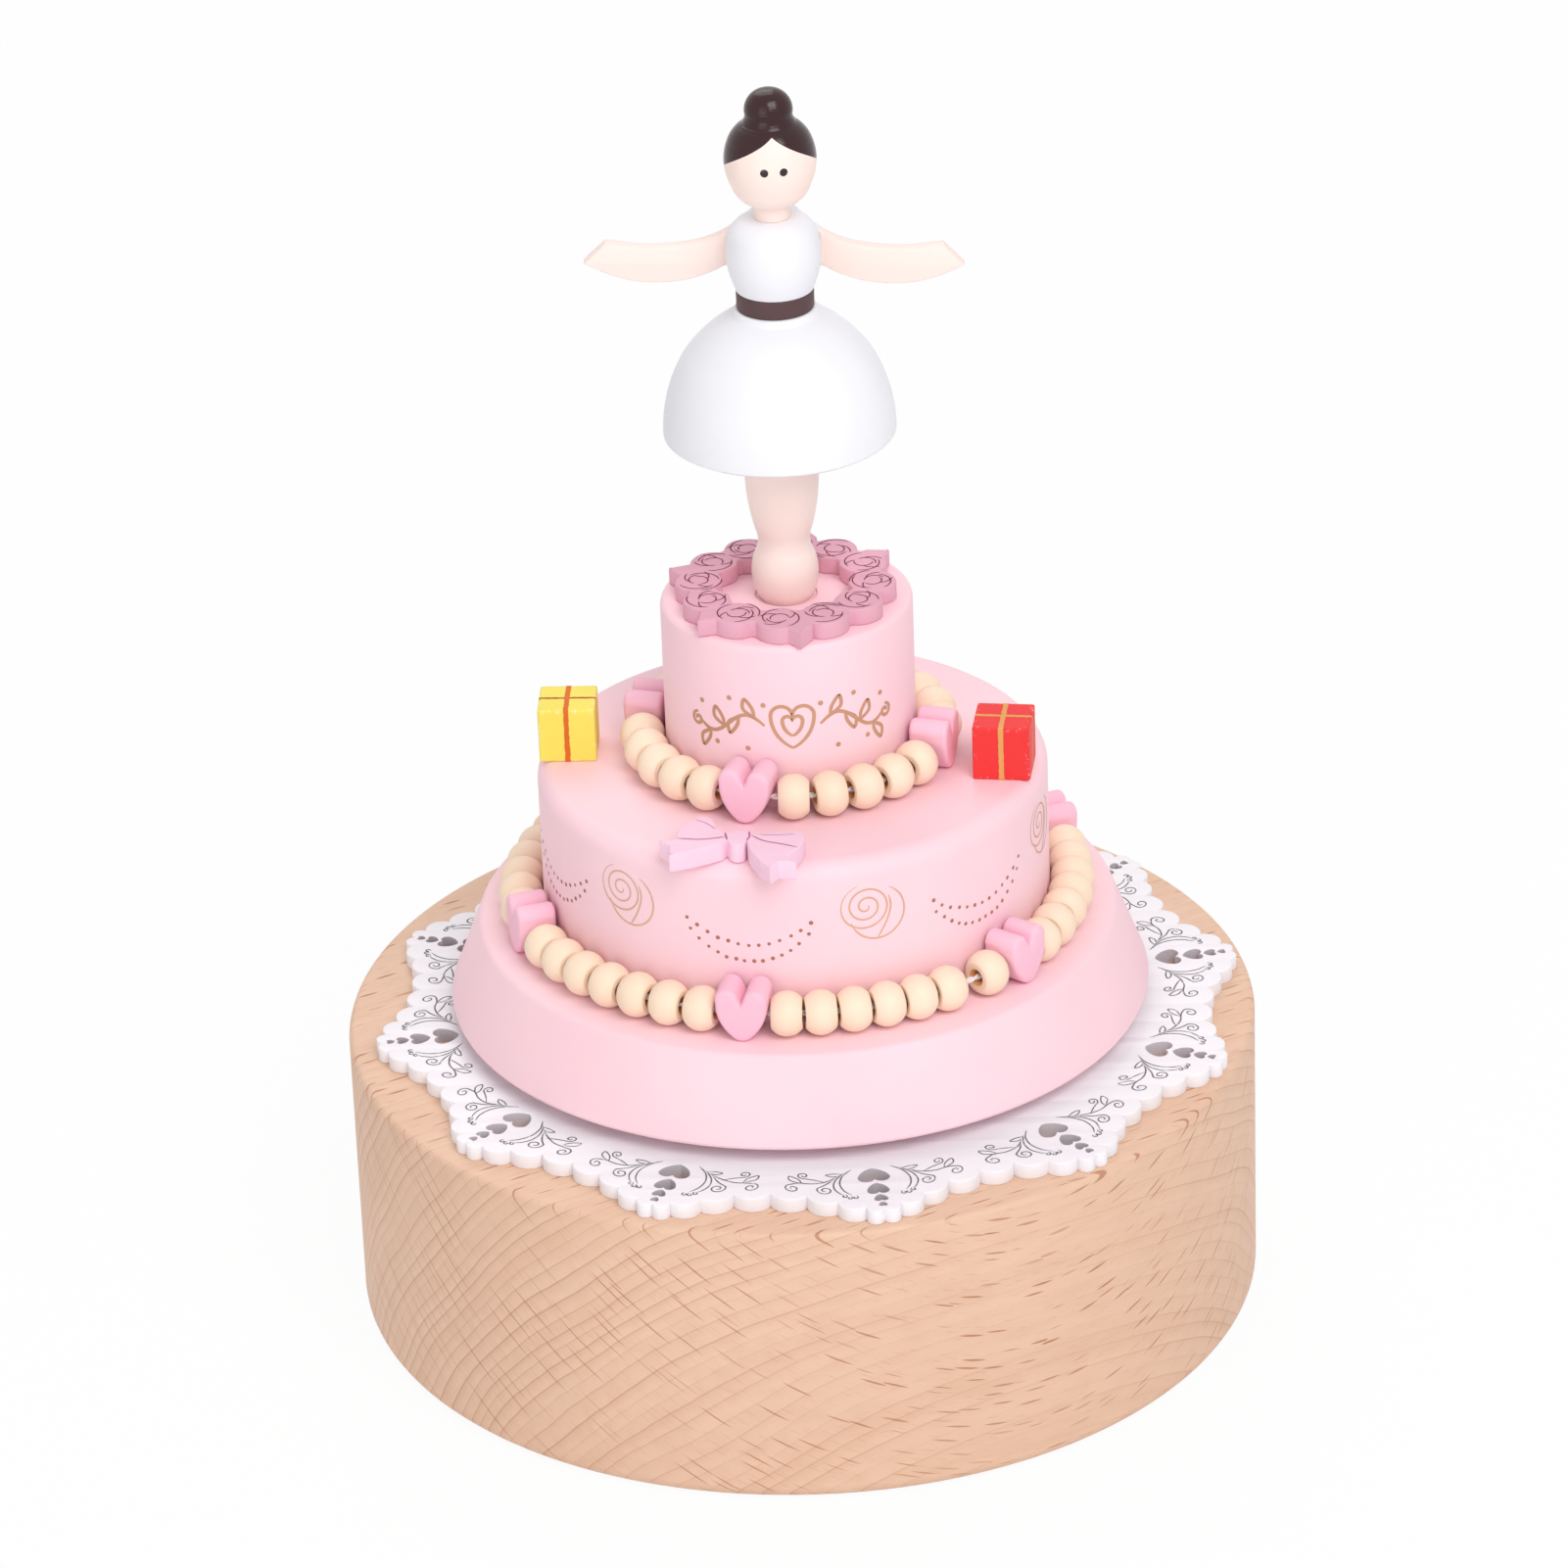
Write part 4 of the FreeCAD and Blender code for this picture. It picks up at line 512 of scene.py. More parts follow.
def beech(name, light, ring, ray, side, grain, pith, ring_width=1.7):
    """Steamed beech: growth rings round a far pith, rays across them, short pores along the grain.
    grain is the direction of the fibres, and pith a point (across, up) of the axis of the rings."""
    look = Look(name, 0.5, 0.35)
    light, ring, ray, side = (srgb(*colour) for colour in (light, ring, ray, side))
    gx, gy = grain
    along = look.dot(look.place, (gx, gy, 0.0))
    across = look.dot(look.place, (-gy, gx, 0.0))
    up = look.axes(look.place)[2]
    stretched = look.point(across, up, look.times(along, 0.25))
    sway = look.math("SUBTRACT", look.noise(0.035, 1.0, stretched), 0.5)
    wave = look.math("SUBTRACT", look.noise(0.16, 2.0, stretched), 0.5)
    out = look.math("SUBTRACT", across, pith[0])
    high = look.math("SUBTRACT", up, pith[1])
    radius = look.math("SQRT", look.math("ADD", look.times(out, out), look.times(high, high)))
    radius = look.math("MULTIPLY_ADD", sway, 5.0, radius)
    radius = look.math("MULTIPLY_ADD", wave, 0.5, radius)
    turn = look.times(look.math("ARCTAN2", high, out), math.hypot(*pith))
    uneven = look.noise(0.11, 1.0, look.point(radius, 0.0, 0.0))
    rings = look.math("MULTIPLY_ADD", uneven, 2.0, look.math("DIVIDE", radius, ring_width))
    share = look.math("FRACT", rings)
    late = look.times(look.step(share, 0.25, 0.97), look.step(share, 1.0, 0.96))
    line = look.times(look.step(share, 0.84, 0.95), look.step(share, 1.0, 0.97))
    which = look.noise(0.9, 0.0, look.point(look.math("FLOOR", rings), 3.0, 0.0))
    strength = look.math("MULTIPLY_ADD", look.step(which, 0.35, 0.65), 0.75, 0.35)
    ends = look.math("ABSOLUTE", look.dot(look.facing, (gx, gy, 0.0)))
    strength = look.times(strength, look.math("MULTIPLY_ADD", ends, 1.0, 0.25))
    base = look.blend(look.noise(0.02, 2.0), light, side)
    mottle = look.noise(0.5, 3.0, stretched)
    base = look.blend(look.times(look.step(mottle, 0.35, 0.75), 0.22), base, ring)
    tone = look.blend(look.times(late, look.times(strength, 0.34)), base, ring)
    tone = look.blend(look.times(line, look.times(strength, 0.3)), tone, ray)
    broad = look.noise(0.2, 1.0, look.point(radius, 5.0, 0.0))
    tone = look.blend(look.times(look.step(broad, 0.42, 0.7), 0.22), tone, ring)
    bent = look.math("MULTIPLY_ADD", wave, 0.5, turn)
    rays = look.flecks(look.point(look.times(radius, 1 / 22.0), look.times(along, 1 / 4.4),
                                  look.times(bent, 1 / 1.7)), 1.7, 0.15)
    tone = look.blend(look.times(rays, look.math("MULTIPLY_ADD", ends, -0.25, 0.78)), tone, ray)
    short = look.flecks(look.point(look.times(radius, 1 / 6.0), look.times(along, 1 / 2.4),
                                   look.math("MULTIPLY_ADD", bent, 1 / 1.1, 37.4)), 1.1, 0.1)
    tone = look.blend(look.times(short, 0.16), tone, ray)
    pores = look.noise(1.0, 2.0, look.point(look.times(across, 5.0), look.times(up, 5.0),
                                            look.times(along, 0.5)))
    look.colour(look.blend(look.times(look.step(pores, 0.55, 0.8), 0.12), tone, ray))
    look.bump(look.math("SUBTRACT", pores, look.times(rays, 0.6)), 0.03, 0.5)
    return look.material


def paint(name, colour, shade, roughness, specular, grain, streaks=None, wear=None, worn=None,
          mottled=0.5):
    """Brushed or sprayed paint on wood: cloudy colour, fine relief, and if asked the streaks of a
    lathe, and edges rubbed through to another colour."""
    look = Look(name, roughness, specular)
    colour, shade = srgb(*colour), srgb(*shade)
    cloud = look.noise(0.06, 3.0)
    fine = look.noise(2.4, 3.0, roughness=0.7)
    tone = look.blend(look.times(look.step(cloud, 0.3, 0.75), mottled), colour, shade)
    tone = look.blend(look.times(look.step(fine, 0.56, 0.8), 0.28), tone, shade)
    if wear:
        low, high, most = worn
        edge = look.node("Attribute", attribute_name="edge")["Fac"]
        rubbed = look.times(edge, look.step(look.noise(1.3, 4.0, roughness=0.65), low, high))
        tone = look.blend(look.times(rubbed, most), tone, srgb(*wear))
    look.colour(tone)
    look.rough(roughness - 0.06, roughness + 0.08, cloud)
    look.bump(fine, grain, 0.55)
    if streaks:
        height = look.times(look.axes(look.place)[2], 2.2)
        look.bump(look.noise(1.0, 2.0, look.point(0.0, 0.0, height)), streaks, 0.4)
    return look.material


def pen_lines(name):
    """Fine grey engraving that fades in places."""
    look = Look(name, 0.7, 0.15)
    gap = look.step(look.noise(0.9, 3.0, roughness=0.7), 0.28, 0.5)
    look.colour(look.blend(gap, srgb(190, 186, 194), srgb(104, 100, 108)))
    return look.material


def metal(name, colour, shade, roughness):
    """Bare metal with fine drawn lines and cloudy tarnish."""
    look = Look(name, roughness)
    look.shader["Metallic"].default_value = 1.0
    cloud = look.noise(0.3, 4.0)
    tarnish = look.times(look.step(cloud, 0.35, 0.75), 0.45)
    look.colour(look.blend(tarnish, srgb(*colour), srgb(*shade)))
    look.rough(roughness - 0.03, roughness + 0.08, cloud)
    look.bump(look.noise(6.0, 2.0), 0.01, 0.3)
    return look.material


# name: colour, shade, roughness, specular, depth of the relief, then what else the paint has
PAINTS = {
    "cake_paint": ((253, 213, 222), (248, 204, 214), 0.52, 0.35, 0.02, {"mottled": 0.45}),
    "bead_wood": ((250, 226, 202), (244, 213, 184), 0.5, 0.4, 0.015, {}),
    "bead_bore": ((232, 170, 112), (206, 140, 84), 0.7, 0.2, 0.03, {}),
    "heart_paint": ((250, 199, 217), (243, 185, 204), 0.6, 0.25, 0.03, {}),
    "bow_paint": ((250, 211, 229), (242, 198, 219), 0.62, 0.25, 0.04, {}),
    "wreath_paint": ((229, 173, 191), (219, 158, 178), 0.62, 0.25, 0.04, {}),
    "skin_paint": ((253, 231, 223), (249, 223, 213), 0.42, 0.4, 0.015, {"streaks": 0.03}),
    "white_paint": ((239, 239, 244), (232, 232, 238), 0.55, 0.35, 0.02, {"streaks": 0.03}),
    "brown_paint": ((54, 24, 28), (40, 17, 20), 0.15, 0.34, 0.03, {"streaks": 0.22}),
    "belt_paint": ((92, 68, 70), (74, 50, 52), 0.5, 0.3, 0.03,
                   {"wear": (150, 72, 66), "worn": (0.6, 0.7, 0.6)}),
    "yellow_paint": ((243, 226, 100), (236, 214, 82), 0.55, 0.3, 0.03,
                     {"wear": (250, 243, 200), "worn": (0.5, 0.66, 0.6)}),
    "red_paint": ((236, 54, 54), (222, 44, 46), 0.55, 0.3, 0.03,
                  {"wear": (248, 190, 180), "worn": (0.55, 0.68, 0.7)}),
    "ribbon_red": ((222, 112, 42), (200, 84, 32), 0.6, 0.2, 0.02, {}),
    "ribbon_thin": ((176, 70, 30), (150, 54, 26), 0.6, 0.2, 0.02, {}),
    "ribbon_gold": ((226, 168, 96), (206, 140, 72), 0.6, 0.2, 0.02, {}),
    "white_laminate": ((243, 240, 244), (236, 232, 238), 0.5, 0.4, 0.01, {"mottled": 0.3}),
    # grey painted shade on the walls of the doily's heart cut-outs
    "cutout_wall_shade": ((206, 200, 205), (158, 150, 156), 0.8, 0.15, 0.05, {}),
    "eye_paint": ((34, 24, 26), (24, 16, 18), 0.2, 0.5, 0.005, {}),
    "cotton": ((244, 242, 240), (226, 222, 218), 0.8, 0.15, 0.05, {}),
    "engraved_tan": ((224, 178, 150), (206, 152, 122), 0.75, 0.15, 0.03, {}),
    "engraved_brown": ((208, 162, 132), (172, 120, 90), 0.75, 0.15, 0.03, {}),
    "engraved_dot": ((182, 122, 100), (150, 90, 74), 0.8, 0.1, 0.03, {}),
    # painted shade of the carved grooves on the wreath and the bow, drawn as darker strips
    "groove_shade_dark": ((132, 66, 88), (104, 46, 66), 0.75, 0.15, 0.03, {}),
    "groove_shade_soft": ((190, 122, 154), (166, 96, 130), 0.75, 0.15, 0.03, {}),
    "cover_board": ((156, 122, 92), (132, 100, 74), 0.8, 0.2, 0.06, {}),
}
WOODS = {
    "beech_wood": ((234, 198, 172), (212, 167, 138), (170, 104, 64), (226, 188, 162),
                   (-0.866, -0.5), (150.0, -95.0)),
    "dowel_wood": ((236, 204, 170), (214, 170, 132), (176, 128, 92), (228, 192, 156),
                   (0.0, 1.0), (30.0, -60.0), 1.6),
}
METALS = {
    "steel": ((196, 197, 200), (168, 168, 172), 0.3),
    "brass": ((214, 178, 104), (186, 148, 80), 0.28),
    "cast_plate": ((150, 150, 152), (126, 126, 130), 0.45),
}
LOOKS = {name: paint(name, *row, **more) for name, (*row, more) in PAINTS.items()}
LOOKS.update({name: beech(name, *row) for name, row in WOODS.items()})
LOOKS.update({name: metal(name, *row) for name, row in METALS.items()})
LOOKS["engraved_grey"] = pen_lines("engraved_grey")

# base and doily

BASE_TOP = top_of("base_body")
CEILING = top_of("bedplate")
COVER_TOP = top_of("bottom_cover")
BASE_RADIUS = 60.0
BASE_BORE = 5.5
HOLLOW_RADIUS = 46.0
COVER_SEAT = 50.2
turned("wooden_base", "base_body", ["beech_wood"], 0.0, [
    (BASE_BORE, CEILING), (HOLLOW_RADIUS, CEILING), (HOLLOW_RADIUS, COVER_TOP),
    (COVER_SEAT, COVER_TOP), (COVER_SEAT, 0.0), *rounded(BASE_RADIUS, 0.0, 2.0, foot=True),
    *rounded(BASE_RADIUS, BASE_TOP, 0.9), (BASE_BORE, BASE_TOP)], 320, 0.15)

DOILY_RADIUS = 56.9
DOILY_CENTRE = Vector((1.1, -1.2))
DOILY_BORE = 5.0
DOILY_TOP = top_of("doily")
TIPS = [9.3 + 30.0 * i for i in range(12)]
# (degrees from the tip, how far in) of the corners and crests of the scallops on each side of a tip
CUSPS = [(0.0, 0.0), (2.2, 0.8), (5.8, 2.5), (9.9, 4.5), (15.0, 5.0)]
CRESTS = [(1.05, -0.65), (3.9, 0.4), (7.8, 2.3), (12.3, 3.4)]
# (how far in, width, height) of the hearts cut out behind each tip
HEART_ROW = [(8.5, 4.1, 3.3), (5.1, 2.8, 2.6), (2.75, 1.75, 1.6), (1.15, 1.05, 1.05)]


def doily():
    """White laminate disc with a scalloped edge and rows of heart cut-outs, their walls grey with painted
    shade.
    """
    table = []
    for tip in TIPS:
        for side, order in ((-1, (3, 2, 1, 0)), (1, (0, 1, 2, 3))):
            for i in order:
                angle, margin = CUSPS[i + 1] if side < 0 else CUSPS[i]
                table.append(tuple(bearing(tip + side * angle, DOILY_RADIUS - margin)))
                crest, margin = CRESTS[i]
                table.append(via(*bearing(tip + side * crest, DOILY_RADIUS - margin)))
    holes = [[bearing(7.5 * i, DOILY_BORE) for i in range(48)]]
    for tip in TIPS:
        turn = Matrix.Rotation(math.radians(180 + tip), 2)
        for margin, width, depth in HEART_ROW:
            shape = softened(traced(heart(width, depth, depth - width * 0.15), 0.14), 0.1)
            middle = Vector((0, DOILY_RADIUS - margin - depth / 2))
            holes.append([turn @ (p + middle) for p in shape])
    # the walls of the heart cut-outs take the grey painted shade
    made = board_mesh(traced(table, 0.3), holes, DOILY_TOP - BASE_TOP, 0.16, hole_look=1, hole_edge=0.04)
    piece("doily_sheet", "doily", ["white_laminate", "cutout_wall_shade"],
          *moved(made, Matrix.Translation((*DOILY_CENTRE, BASE_TOP))))


def vines(side, sway):
    """Engraved lines beside one row of hearts: (across, inset from the tip's radius)."""
    made = [
        curved([(2.5, 10.3), (3.8, 8.9), (4.5, 7.0), (4.3, 5.2), (3.5, 3.9)], 0.2),
        curved([(3.7, 9.5), (5.0, 7.7), (5.4, 5.9), (4.9, 4.5), (4.4, 4.0)], 0.2),
        curved([(4.6, 8.7), (6.2, 7.7 + sway), (8.0, 7.3), (9.6, 7.5 - sway), (10.7, 7.3)], 0.2)
        + curl(10.6, 6.3, 1.0, 85, -1.35),
        curved([(5.0, 8.3), (6.2, 7.0), (7.5, 6.1)], 0.2) + curl(6.6, 5.5, 1.05, 35, -1.4),
        curved([(6.4, 7.6), (7.5, 8.2), (8.6, 8.6)], 0.2) + curl(8.7, 9.4, 0.8, -95, 1.35),
        curved([(9.2, 7.45), (9.5, 8.5), (10.5, 9.3), (10.6, 8.3), (9.4, 7.5)], 0.2),
        curved([(3.9, 9.3), (4.9, 9.5), (5.9, 9.3), (5.2, 8.8), (4.4, 8.9)], 0.2)]
    made += [curl(x, y, 0.42, 120, 0.95) for x, y in ((3.15, 3.3), (3.85, 3.3), (4.45, 3.75))]
    return [[Vector((p.x * side, p.y)) for p in one] for one in made]


def doily_lines():
    """Thin grey engraving on the doily."""
    made = []
    for tip in TIPS:
        def place(across, margin, lift, tip=tip):
            radius = DOILY_RADIUS - margin
            x, y = bearing(tip + math.degrees(across / radius), radius) + DOILY_CENTRE
            return (x, y, DOILY_TOP + lift)
        paths = vines(1, chance.uniform(-0.15, 0.25)) + vines(-1, chance.uniform(-0.15, 0.25))
        made.append(lines_mesh(paths, 0.2, place, 0.015))
    marks("doily_engraving", "doily", "engraved_grey", made, upwards)


doily()
doily_lines()

# cake

CAKE_FOOT = foot_of("cake_tier_bottom")
MIDDLE_FOOT = foot_of("cake_tier_middle")
TOP_FOOT = foot_of("cake_tier_top")
CAKE_TOP = top_of("cake_tier_top")
MIDDLE_RADIUS = 33.25
TOP_RADIUS = 16.3
ENGRAVING_LIFT = 0.02


def tier(name, node, radius, foot, top, edge, finish):
    """An upright tier with a rounded upper edge, its outline ended by the points of finish."""
    high = top - foot
    turned(name, node, ["cake_paint"], foot, [
        (0.0, 0.0), (radius, 0.0), *rounded(radius, high, edge),
        *((r, high - down) for r, down in finish)], 288, 0.12)


LOW = MIDDLE_FOOT - CAKE_FOOT
turned("tier_bottom", "cake_tier_bottom", ["cake_paint"], CAKE_FOOT, [
    (2.3, 9.0), (4.03, 9.0), (4.03, 1.0), (6.03, 1.0), (6.03, 0.0), *rounded(46.05, 0.0, 0.6, foot=True),
    (42.01, LOW - 0.6), via(41.654, LOW - 0.176), (41.23, LOW), (2.3, LOW)], 288, 0.1)
tier("tier_middle", "cake_tier_middle", MIDDLE_RADIUS, MIDDLE_FOOT, TOP_FOOT, 2.4, [(0.0, 0.0)])
tier("tier_top", "cake_tier_top", TOP_RADIUS, TOP_FOOT, CAKE_TOP, 1.0,
     [(4.0, 0.0), (4.0, 0.35), (0.0, 0.35)])


def spiral_rose():
    """Engraved rose: a spiral with larger petals round it."""
    spiral = []
    for i in range(130):
        turns = 2.75 * i / 129
        grown = 0.25 + 1.2 * turns
        r = min(grown, 1.45 + 1.85 * (turns - 1), 3.2) if turns > 1 else grown
        x, y = polar(20 - 360 * turns, r)
        spiral.append(Vector((-0.95 + x * 1.03, 0.7 + y)))
    ring = [polar(angle, 1) for angle in range(196, 428, 4)]
    ring = [Vector((0.55 + 3.65 * x, -0.35 + 3.7 * y)) for x, y in ring]
    return [spiral, ring, curved([(2.1, 1.9), (2.35, 0.2), (1.7, -1.9), (0.5, -4.0)])]


def crescent():
    """Two rows of dots that hang like a swag."""
    made = []
    for count, reach, low, rise, power in ((13, 8.1, -3.9, 3.1, 2.0), (14, 7.7, -6.2, 3.8, 2.3)):
        for i in range(count):
            across = reach * (2 * i / (count - 1) - 1)
            up = low + rise * abs(across / reach) ** power
            made.append((across + chance.uniform(-0.08, 0.08), up + chance.uniform(-0.08, 0.08),
                         chance.uniform(0.23, 0.3)))
    return made


def hearted_vine():
    """Paths and dots of a plain vine that runs both ways from two hearts, one inside the other."""
    paths, spots = [], []

    def stem(x):
        return 1.5 * math.sin((x - 3.4) * 0.62)
    for side in (-1, 1):
        paths.append([Vector((side * x, stem(x))) for x in [3.6 + 0.25 * i for i in range(39)]])
        for x, tilt in ((4.9, 1), (7.0, -1), (9.1, 1), (11.2, -1)):
            leaf = [(0, 0), (0.3, 1.3), (1.3, 2.5), (1.5, 1.1), (0, 0)]
            paths.append(curved([(side * (x + a), stem(x) + tilt * b) for a, b in leaf], 0.2))
        paths.append(curl(side * 13.4, -0.6, 1.0, 90, side * -1.3))
        spots += [(side * x, y, 0.36)
                  for x, y in ((3.7, 3.1), (8.3, 3.6), (5.9, -3.2), (10.3, -3.0), (12.6, 2.2))]
    for width, height, notch, down in ((5.6, 5.9, 4.7, 2.9), (2.6, 2.8, 2.2, 1.2)):
        outline = traced(heart(width, height, notch), 0.2)
        paths.append([p - Vector((0, down)) for p in outline + outline[:1]])
    return paths, spots


def tier_marks():
    """Engraved roses and swags on the middle tier, and a plain vine with hearts on the top one."""
    level = MIDDLE_FOOT + 15.1
    lines = [lines_mesh(spiral_rose(), 0.25, wall(MIDDLE_RADIUS, angle, level), ENGRAVING_LIFT)
             for angle in (-40.0, 17.5, 74.0, 135.5, 197.0, 258.5)]
    marks("tier_engraved_roses", "cake_tier_middle", "engraved_tan", lines, away)
    dots = [dots_mesh(crescent(), wall(MIDDLE_RADIUS, angle, level), ENGRAVING_LIFT)
            for angle in (-67.5, -10.3, 46.0, 105.0, 166.5, 228.0)]
    marks("tier_engraved_dots", "cake_tier_middle", "engraved_dot", dots, away)
    paths, spots = hearted_vine()
    place = wall(TOP_RADIUS, 1.5, TOP_FOOT + 11.4)
    made = [lines_mesh(paths, 0.5, place, ENGRAVING_LIFT, 0.7), dots_mesh(spots, place, ENGRAVING_LIFT)]
    marks("top_tier_vine", "cake_tier_top", "engraved_brown", made, away)


tier_marks()

# garlands

BEAD = [(0.85, -1.65), (1.16, -2.02), (1.95, -2.02), via(2.95, 0.0), (1.95, 2.02), (1.16, 2.02),
        (0.85, 1.65)]
BEAD_BORE = 1.14
BEAD_PITCH = 4.07
HEART_WIDTH, HEART_HEIGHT, HEART_DEPTH = 6.6, 7.3, 5.1
STRING_OUT = 3.0
STRING_UP = 3.05
STRAND, TWIST = 0.21, 0.19


def at(angle, radius, level, tilt=0.0):
    """Matrix for a bead drawn about the origin: at a bearing on a ring, turned on its string."""
    return spin(angle) @ Matrix.Translation((0, -radius, level)) @ spin(tilt, "X")


def bead_places(ring, hearts, start, slack_after, drift):
    """Bearings of the hearts and of the beads, as strung in the CAD model."""
    bead_angle = 2 * math.degrees(math.atan(BEAD_PITCH / 2 / (ring - 2.0)))
    heart_angle = 2 * math.degrees(math.atan(HEART_WIDTH * 0.93 / 2 / (ring - HEART_DEPTH / 2)))
    spans = [360.0 / hearts * i for i in range(hearts)]
    heart_bearings = [start + span + drift * math.sin(math.radians(span)) for span in spans]
    beads = []
    for i, first in enumerate(heart_bearings):
        following = heart_bearings[i + 1] if i + 1 < hearts else heart_bearings[0] + 360.0
        free = following - first - heart_angle
        count = int(free / bead_angle)
        loose = slack_after and i == 0
        pitch = bead_angle if loose else free / count
        for k in range(count):
            angle = first + heart_angle / 2 + pitch * (k + 0.5)
            beads.append(angle + (free - bead_angle * count if loose and k >= slack_after else 0.0))
    return heart_bearings, beads


def heart_bead():
    """Outline of a heart bead with its tip down at the origin."""
    width, height, lobe = HEART_WIDTH, HEART_HEIGHT, HEART_WIDTH / 4
    right = [via(width * 0.43, height * 0.38), (width / 2, height - lobe * 1.15),
             via(lobe * 1.1, height), (0.4, height * 0.84)]
    left = [(*p[:-2], -p[-2], p[-1]) for p in reversed(right)]
    return traced([(-1.4, 0.7), via(0, 0), (1.4, 0.7)] + right + [(0, height * 0.72)] + left, 0.22)


def string_mesh(ring, level):
    """Two strands of cotton twisted round each other, on a closed ring."""
    verts, faces = [], []
    count, sides = 720, 6
    for strand in range(2):
        first = len(verts)
        for i in range(count):
            across, up = polar(360 * (i / count * round(ring * 2.2) + strand / 2), TWIST)
            for out, high in (polar(360.0 * k / sides, STRAND) for k in range(sides)):
                x, y = bearing(360.0 * i / count, ring + across + out)
                verts.append((x, y, level + up + high))
        for i in range(count):
            a, b = first + i * sides, first + (i + 1) % count * sides
            faces += [(a + k, b + k, b + (k + 1) % sides, a + (k + 1) % sides) for k in range(sides)]
    return verts, faces


def garland(name, wall_radius, foot, *strung):
    """Turned wooden beads and thick hearts on a twisted cotton string."""
    ring, level = wall_radius + STRING_OUT, foot + STRING_UP
    hearts, beads = bead_places(ring, *strung)
    bead = turned_mesh(softened(traced(BEAD, 0.25), 0.3), 44, lambda p: 1 if p.x < BEAD_BORE else 0)
    made = [moved(bead, at(angle, ring, level, chance.uniform(0, 360))
                  @ spin(chance.uniform(-1.2, 1.2)) @ spin(90, "Y")) for angle in beads]
    piece(name + "_beads", name + "_garland_beads", ["bead_wood", "bead_bore"], *joined(made))
    shape = board_mesh(heart_bead(), [], HEART_DEPTH, 0.6, 4)
    stand = spin(90, "X") @ Matrix.Translation((0, -3.0, -HEART_DEPTH / 2))
    made = [moved(shape, at(angle, ring, level, chance.uniform(-1.5, 1.5)) @ stand) for angle in hearts]
    piece(name + "_hearts", name + "_garland_hearts", ["heart_paint"], *joined(made))
    piece(name + "_string", name + "_garland_cord", ["cotton"], *string_mesh(ring, level))


garland("lower", MIDDLE_RADIUS, MIDDLE_FOOT, 6, -10.8, 6, 1.8)
garland("upper", TOP_RADIUS, TOP_FOOT, 4, -16.5, 0, 0.0)

# bow and gifts

BOW = [(0.0, 2.0), (-1.8, 1.3), (-2.7, 2.7), (-3.2, 4.4), via(-4.1, 5.9), (-5.1, 6.2), (-6.7, 4.3),
       via(-7.8, 2.0), (-7.9, 0.2), (-10.1, -0.3), (-8.8, -1.7), (-8.8, -4.4), via(-5.3, -3.15),
       (-2.1, -1.5), (-1.5, -0.6), (-1.1, -1.75), via(-0.1, -2.3), (0.75, -1.85), (1.0, -0.9),
       (1.2, -2.6), (1.7, -4.3), (2.7, -6.6), (4.0, -8.5),
       (5.1, -7.1), (7.3, -7.3), (6.1, -5.6), (7.0, -4.2), via(8.1, -2.0), (8.4, -0.1),
       via(7.9, 1.1), (6.7, 1.25), via(4.2, 1.1), (2.0, 0.6), (1.3, 1.5)]
KNOT = (-6.73, -29.2)


def bow():
    """Bow sawn from board. The grooves round the knot and between loops and tails are darker strips of
    painted shade.
    """
    foot, top = foot_of("bow"), top_of("bow")
    outline = resampled(softened(traced(BOW, 0.3), 0.15), 0.3)
    made = board_mesh(outline, [], top - foot, 0.24)
    piece("bow_board", "bow", ["bow_paint"], *moved(made, Matrix.Translation((*KNOT, foot))))
    deep = [[(-1.75, 1.25), (-1.6, 0.2), (-1.5, -0.7)], [(1.3, 1.4), (1.35, 0.0), (1.0, -1.0)],
            [(-7.8, 0.15), (-5.2, -0.35), (-3.0, -0.15), (-1.6, 0.25)],
            [(1.6, 0.3), (3.2, -1.3), (5.4, -2.3), (7.4, -3.3)]]
    faint = [[(-5.6, 5.2), (-4.2, 4.1), (-2.9, 2.3)], [(2.6, 0.4), (4.6, 0.2), (7.2, 0.3)]]
    # darker strips on the top face: painted shade of the grooves
    made = [lines_mesh([curved(path) for path in paths], width, on_top(*KNOT, top), 0.012)
            for paths, width in ((deep, 0.26), (faint, 0.13))]
    marks("bow_groove_shade", "bow", "groove_shade_soft", made, upwards)


GIFT_SIZE = 7.45
GIFT_EDGE = 0.28
CORNERS = ((-1, -1), (1, -1), (1, 1), (-1, 1))
THIN, THICK = 0.012, 0.03


def gift_mesh():
    """Points, faces and wear of a cube with softened edges. Wear is 1 on an edge and fades to 0."""
    half = GIFT_SIZE / 2
    core = half - GIFT_EDGE
    count = 16
    ticks = [-half, -half + GIFT_EDGE / 2] + [-core + 2 * core * i / count for i in range(count + 1)]
    ticks += [half - GIFT_EDGE / 2, half]
    verts, faces, worn, known = [], [], [], {}

    def corner_at(axis, side, a, b):
        spot = [ticks[a], ticks[b]]
        spot.insert(axis, side)
        spot = Vector(spot)
        inner = Vector([max(-core, min(core, c)) for c in spot])
        point = inner + (spot - inner).normalized() * GIFT_EDGE
        key = tuple(round(c, 5) for c in point)
        if key not in known:
            known[key] = len(verts)
            verts.append(point)
            rounded = sum(abs(c) > core + 1e-6 for c in spot) > 1
            near = sorted(half - abs(c) for c in point)[1]
            worn.append(1.0 if rounded else max(0.0, 1 - near / 0.7))
        return known[key]
    cells = [(i, k) for i in range(len(ticks) - 1) for k in range(len(ticks) - 1)]
    for axis, side in ((axis, side) for axis in range(3) for side in (-half, half)):
        for i, k in cells:
            loop = [corner_at(axis, side, *c) for c in ((i, k), (i + 1, k), (i + 1, k + 1), (i, k + 1))]
            loop = [v for n, v in enumerate(loop) if v not in loop[:n]]
            if len(loop) < 3:
                continue
            a, b, c = (verts[v] for v in loop[:3])
            if (b - a).cross(c - a).dot(a + b + c) < 0:
                loop.reverse()
            faces.append(tuple(loop))
    return verts, faces, worn


